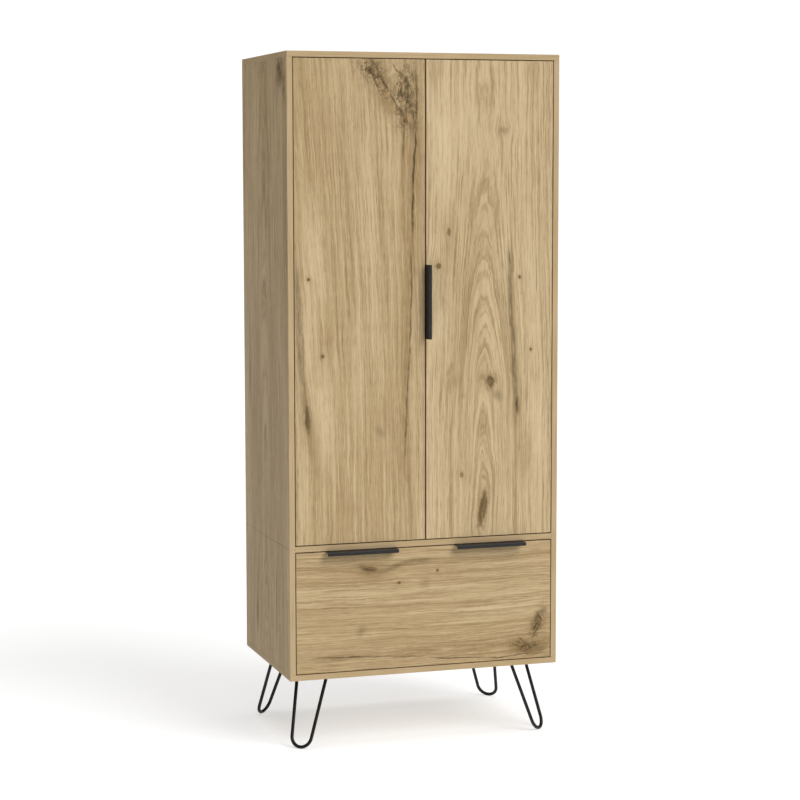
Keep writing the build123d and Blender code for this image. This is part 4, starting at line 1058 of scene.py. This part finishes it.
def steelPlate(name, corner, sx, sy, top):
    # flat plate with rounded corners and screw holes, edges eased
    shape = bmesh.new()

    def loop(points):
        made = [shape.verts.new((corner[0] + sx * x, corner[1] + sy * y, top)) for x, y in points]
        return [shape.edges.new((a, b)) for a, b in zip(made, made[1:] + made[:1])]

    outline = []
    corners = [Vector(p) for p in leg["plateCorners"]]
    for before, here, after in zip(corners[-1:] + corners[:-1], corners, corners[1:] + corners[:1]):
        toBefore, toAfter = (before - here).normalized(), (after - here).normalized()
        opening = toBefore.angle(toAfter) / 2
        radius = leg["plateRound"]
        middle = here + (toBefore + toAfter).normalized() * radius / sin(opening)
        back = radius / (sin(opening) / cos(opening))
        start, end = (here + to * back - middle for to in (toBefore, toAfter))
        for i in range(6):
            arm = start.lerp(end, i / 5).normalized() * radius
            outline.append(middle + arm)
    edges = loop(outline)
    for hole in leg["screwHoles"]:
        turns = [pi * i / 9 for i in range(18)]
        edges += loop([(hole[0] + leg["holeRadius"] * cos(turn), hole[1] + leg["holeRadius"] * sin(turn))
                       for turn in turns])
    filled = bmesh.ops.triangle_fill(shape, edges=edges, use_beauty=True)
    faces = [f for f in filled["geom"] if isinstance(f, bmesh.types.BMFace)]
    grown = bmesh.ops.extrude_face_region(shape, geom=faces)
    for vertex in (g for g in grown["geom"] if isinstance(g, bmesh.types.BMVert)):
        vertex.co.z -= leg["plate"]
    bmesh.ops.dissolve_limit(shape, angle_limit=radians(0.4), verts=shape.verts, edges=shape.edges)
    bmesh.ops.recalc_face_normals(shape, faces=shape.faces)
    mesh = bpy.data.meshes.new(name)
    piece = addObject(name, mesh)
    finishShape(piece, shape)
    easeEdges(piece, leg["plateEase"])
    return piece


def hairpinLeg(name, node, sx, sy):
    low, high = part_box("bottom_panel")
    corner = (high[0] if sx > 0 else low[0], high[1] if sy > 0 else low[1])
    outward = Vector((sx, sy, 0.0)).normalized()
    across = Vector((-sy, sx, 0.0)).normalized()
    lean = radians(leg["splay"])
    upward = Vector((0.0, 0.0, cos(lean))) - outward * sin(lean)
    foot = Vector((corner[0] - sx * leg["footInset"], corner[1] - sy * leg["footInset"], leg["rodRadius"]))
    turned = Matrix((across, upward.cross(across), upward)).transposed()
    strand = (leg["height"] - leg["plate"] / 2 - leg["rodRadius"]) / cos(lean)
    rod = pointCloud(name, [(0.0, 0.0, 0.0)], [(0.0, 0.0, 1.0)])
    runTree(rod, hairpinMaker, **{
        "Strand half": leg["strandHalf"], "Strand length": strand, "Bend radius": leg["bendRadius"],
        "Rod radius": leg["rodRadius"], "Foot": foot, "Lean": Vector(turned.to_euler()),
        "Finish": finishes["legSteel"]})
    plate = steelPlate(name + "Plate", corner, -sx, -sy, leg["height"])
    shape = bmesh.new()
    shape.from_mesh(rod.data)
    shape.from_mesh(plate.data)
    # weld where each strand runs into the plate
    under = leg["height"] - leg["plate"]
    up = (under - leg["rodRadius"]) / cos(lean)
    rise = strand - leg["bendRadius"]
    tangent = atan2(rise, leg["strandHalf"]) - acos(leg["bendRadius"] / hypot(leg["strandHalf"], rise))
    slope = (leg["strandHalf"] - leg["bendRadius"] * cos(tangent)) / (rise - leg["bendRadius"] * sin(tangent))
    for side in (-1, 1):
        aside = leg["strandHalf"] - (strand - up) * slope
        centre = foot + across * (side * aside) + upward * up
        rings = []
        for drop, wider in leg["weld"]:
            radius = leg["rodRadius"] + wider
            middle = centre - upward * (drop / cos(lean))
            ring = []
            for i in range(20):
                turn = 2 * pi * i / 20
                bead = radius * (1.0 + 0.05 * sin(5 * turn) * (wider > 0.0))
                spot = middle + bead * Vector((cos(turn), sin(turn), 0.0))
                ring.append(shape.verts.new(spot))
            rings.append(ring)
        for lower, upper in zip(rings, rings[1:]):
            bridge(shape, lower, upper)
        shape.faces.new(rings[-1])
        shape.faces.new(list(reversed(rings[0])))
    for face in shape.faces:
        face.smooth = True
    shape.to_mesh(rod.data)
    shape.free()
    bpy.data.objects.remove(plate)
    rod.data.materials.clear()
    rod.data.materials.append(finishes["legSteel"])
    for polygon in rod.data.polygons:
        polygon.material_index = 0
    rod.data.set_sharp_from_angle(angle=radians(40.0))
    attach(rod, "carcass")
    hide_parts(node)


hairpinMaker = hairpinTree()
for sx, across in ((-1, "left"), (1, "right")):
    for sy, along in ((-1, "front"), (1, "back")):
        hairpinLeg(f"hairpinLeg{along.title()}{across.title()}", f"leg_{along}_{across}", sx, sy)
print("legs done")

# Ball cages of the runners: a thin strip and its row of balls
cage = {"balls": 10}


def cageTree():
    sizes = (("Length", 0.16), ("Width", 0.004), ("Thickness", 0.001), ("Ball radius", 0.0012))
    tree, given, result = newGeometryTree("ballCages", sizes, (("Finish", "NodeSocketMaterial"),))
    flat = combine(tree, given["Width"], given["Length"], given["Thickness"])
    strip = geoNode(tree, "MeshCube", Size=flat)
    ball = geoNode(tree, "MeshIcoSphere", Radius=given["Ball radius"], Subdivisions=3)
    step = maths(tree, "DIVIDE", given["Length"], float(cage["balls"]))
    first = times(tree, minus(tree, given["Length"], step), -0.5)
    row = geoNode(tree, "MeshLine", Count=cage["balls"], Start_Location=combine(tree, 0.0, first, 0.0),
                  Offset=combine(tree, 0.0, step, 0.0))
    balls = geoNode(tree, "InstanceOnPoints", Points=row.outputs[0], Instance=ball.outputs[0])
    both = geoNode(tree, "JoinGeometry")
    tree.links.new(strip.outputs["Mesh"], both.inputs[0])
    tree.links.new(balls.outputs[0], both.inputs[0])
    spread = geoNode(tree, "InstanceOnPoints", Points=given["Geometry"], Instance=both.outputs[0])
    return paintTree(tree, spread.outputs[0], given, result)


def ballCages():
    maker = cageTree()
    kinds = {}
    for points in islands("runner_ball_cages"):
        low, high, size = boxOf(points)
        kinds.setdefault(round(size.x, 4), []).append(((low + high) / 2, size))
    shape = bmesh.new()
    for width, found in kinds.items():
        part = pointCloud("cages", [middle for middle, _ in found], [(0.0, 0.0, 1.0)] * len(found))
        size = found[0][1]
        runTree(part, maker, **{"Length": size.y, "Width": width, "Ball radius": size.z / 2,
                                "Finish": finishes["cage"]})
        shape.from_mesh(part.data)
        bpy.data.objects.remove(part)
    piece = addObject("runnerBallCages", bpy.data.meshes.new("runnerBallCages"))
    finishShape(piece, shape, 40.0)
    piece.data.materials.append(finishes["cage"])
    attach(piece, "runner_middles")
    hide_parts("runner_ball_cages")


ballCages()
print("ball cages done")


def setFloor():
    half = studio["floorHalf"]
    mesh = bpy.data.meshes.new("studioFloor")
    corners = [(x * half, y * half, 0.0) for x, y in ((-1, -1), (1, -1), (1, 1), (-1, 1))]
    mesh.from_pydata(corners, [], [(0, 1, 2, 3)])
    floor = addObject("studioFloor", mesh)
    material, tree, shader, place = startMaterial("paleFloor", Roughness=0.8, **{"Specular IOR Level": 0.1})
    shader.inputs["Base Color"].default_value = studio["floorTone"]
    shader.inputs["Emission Color"].default_value = (1.0, 1.0, 1.0, 1.0)
    shader.inputs["Emission Strength"].default_value = studio["floorGlow"]
    mesh.materials.append(material)


setFloor()
setCamera()
setLight()
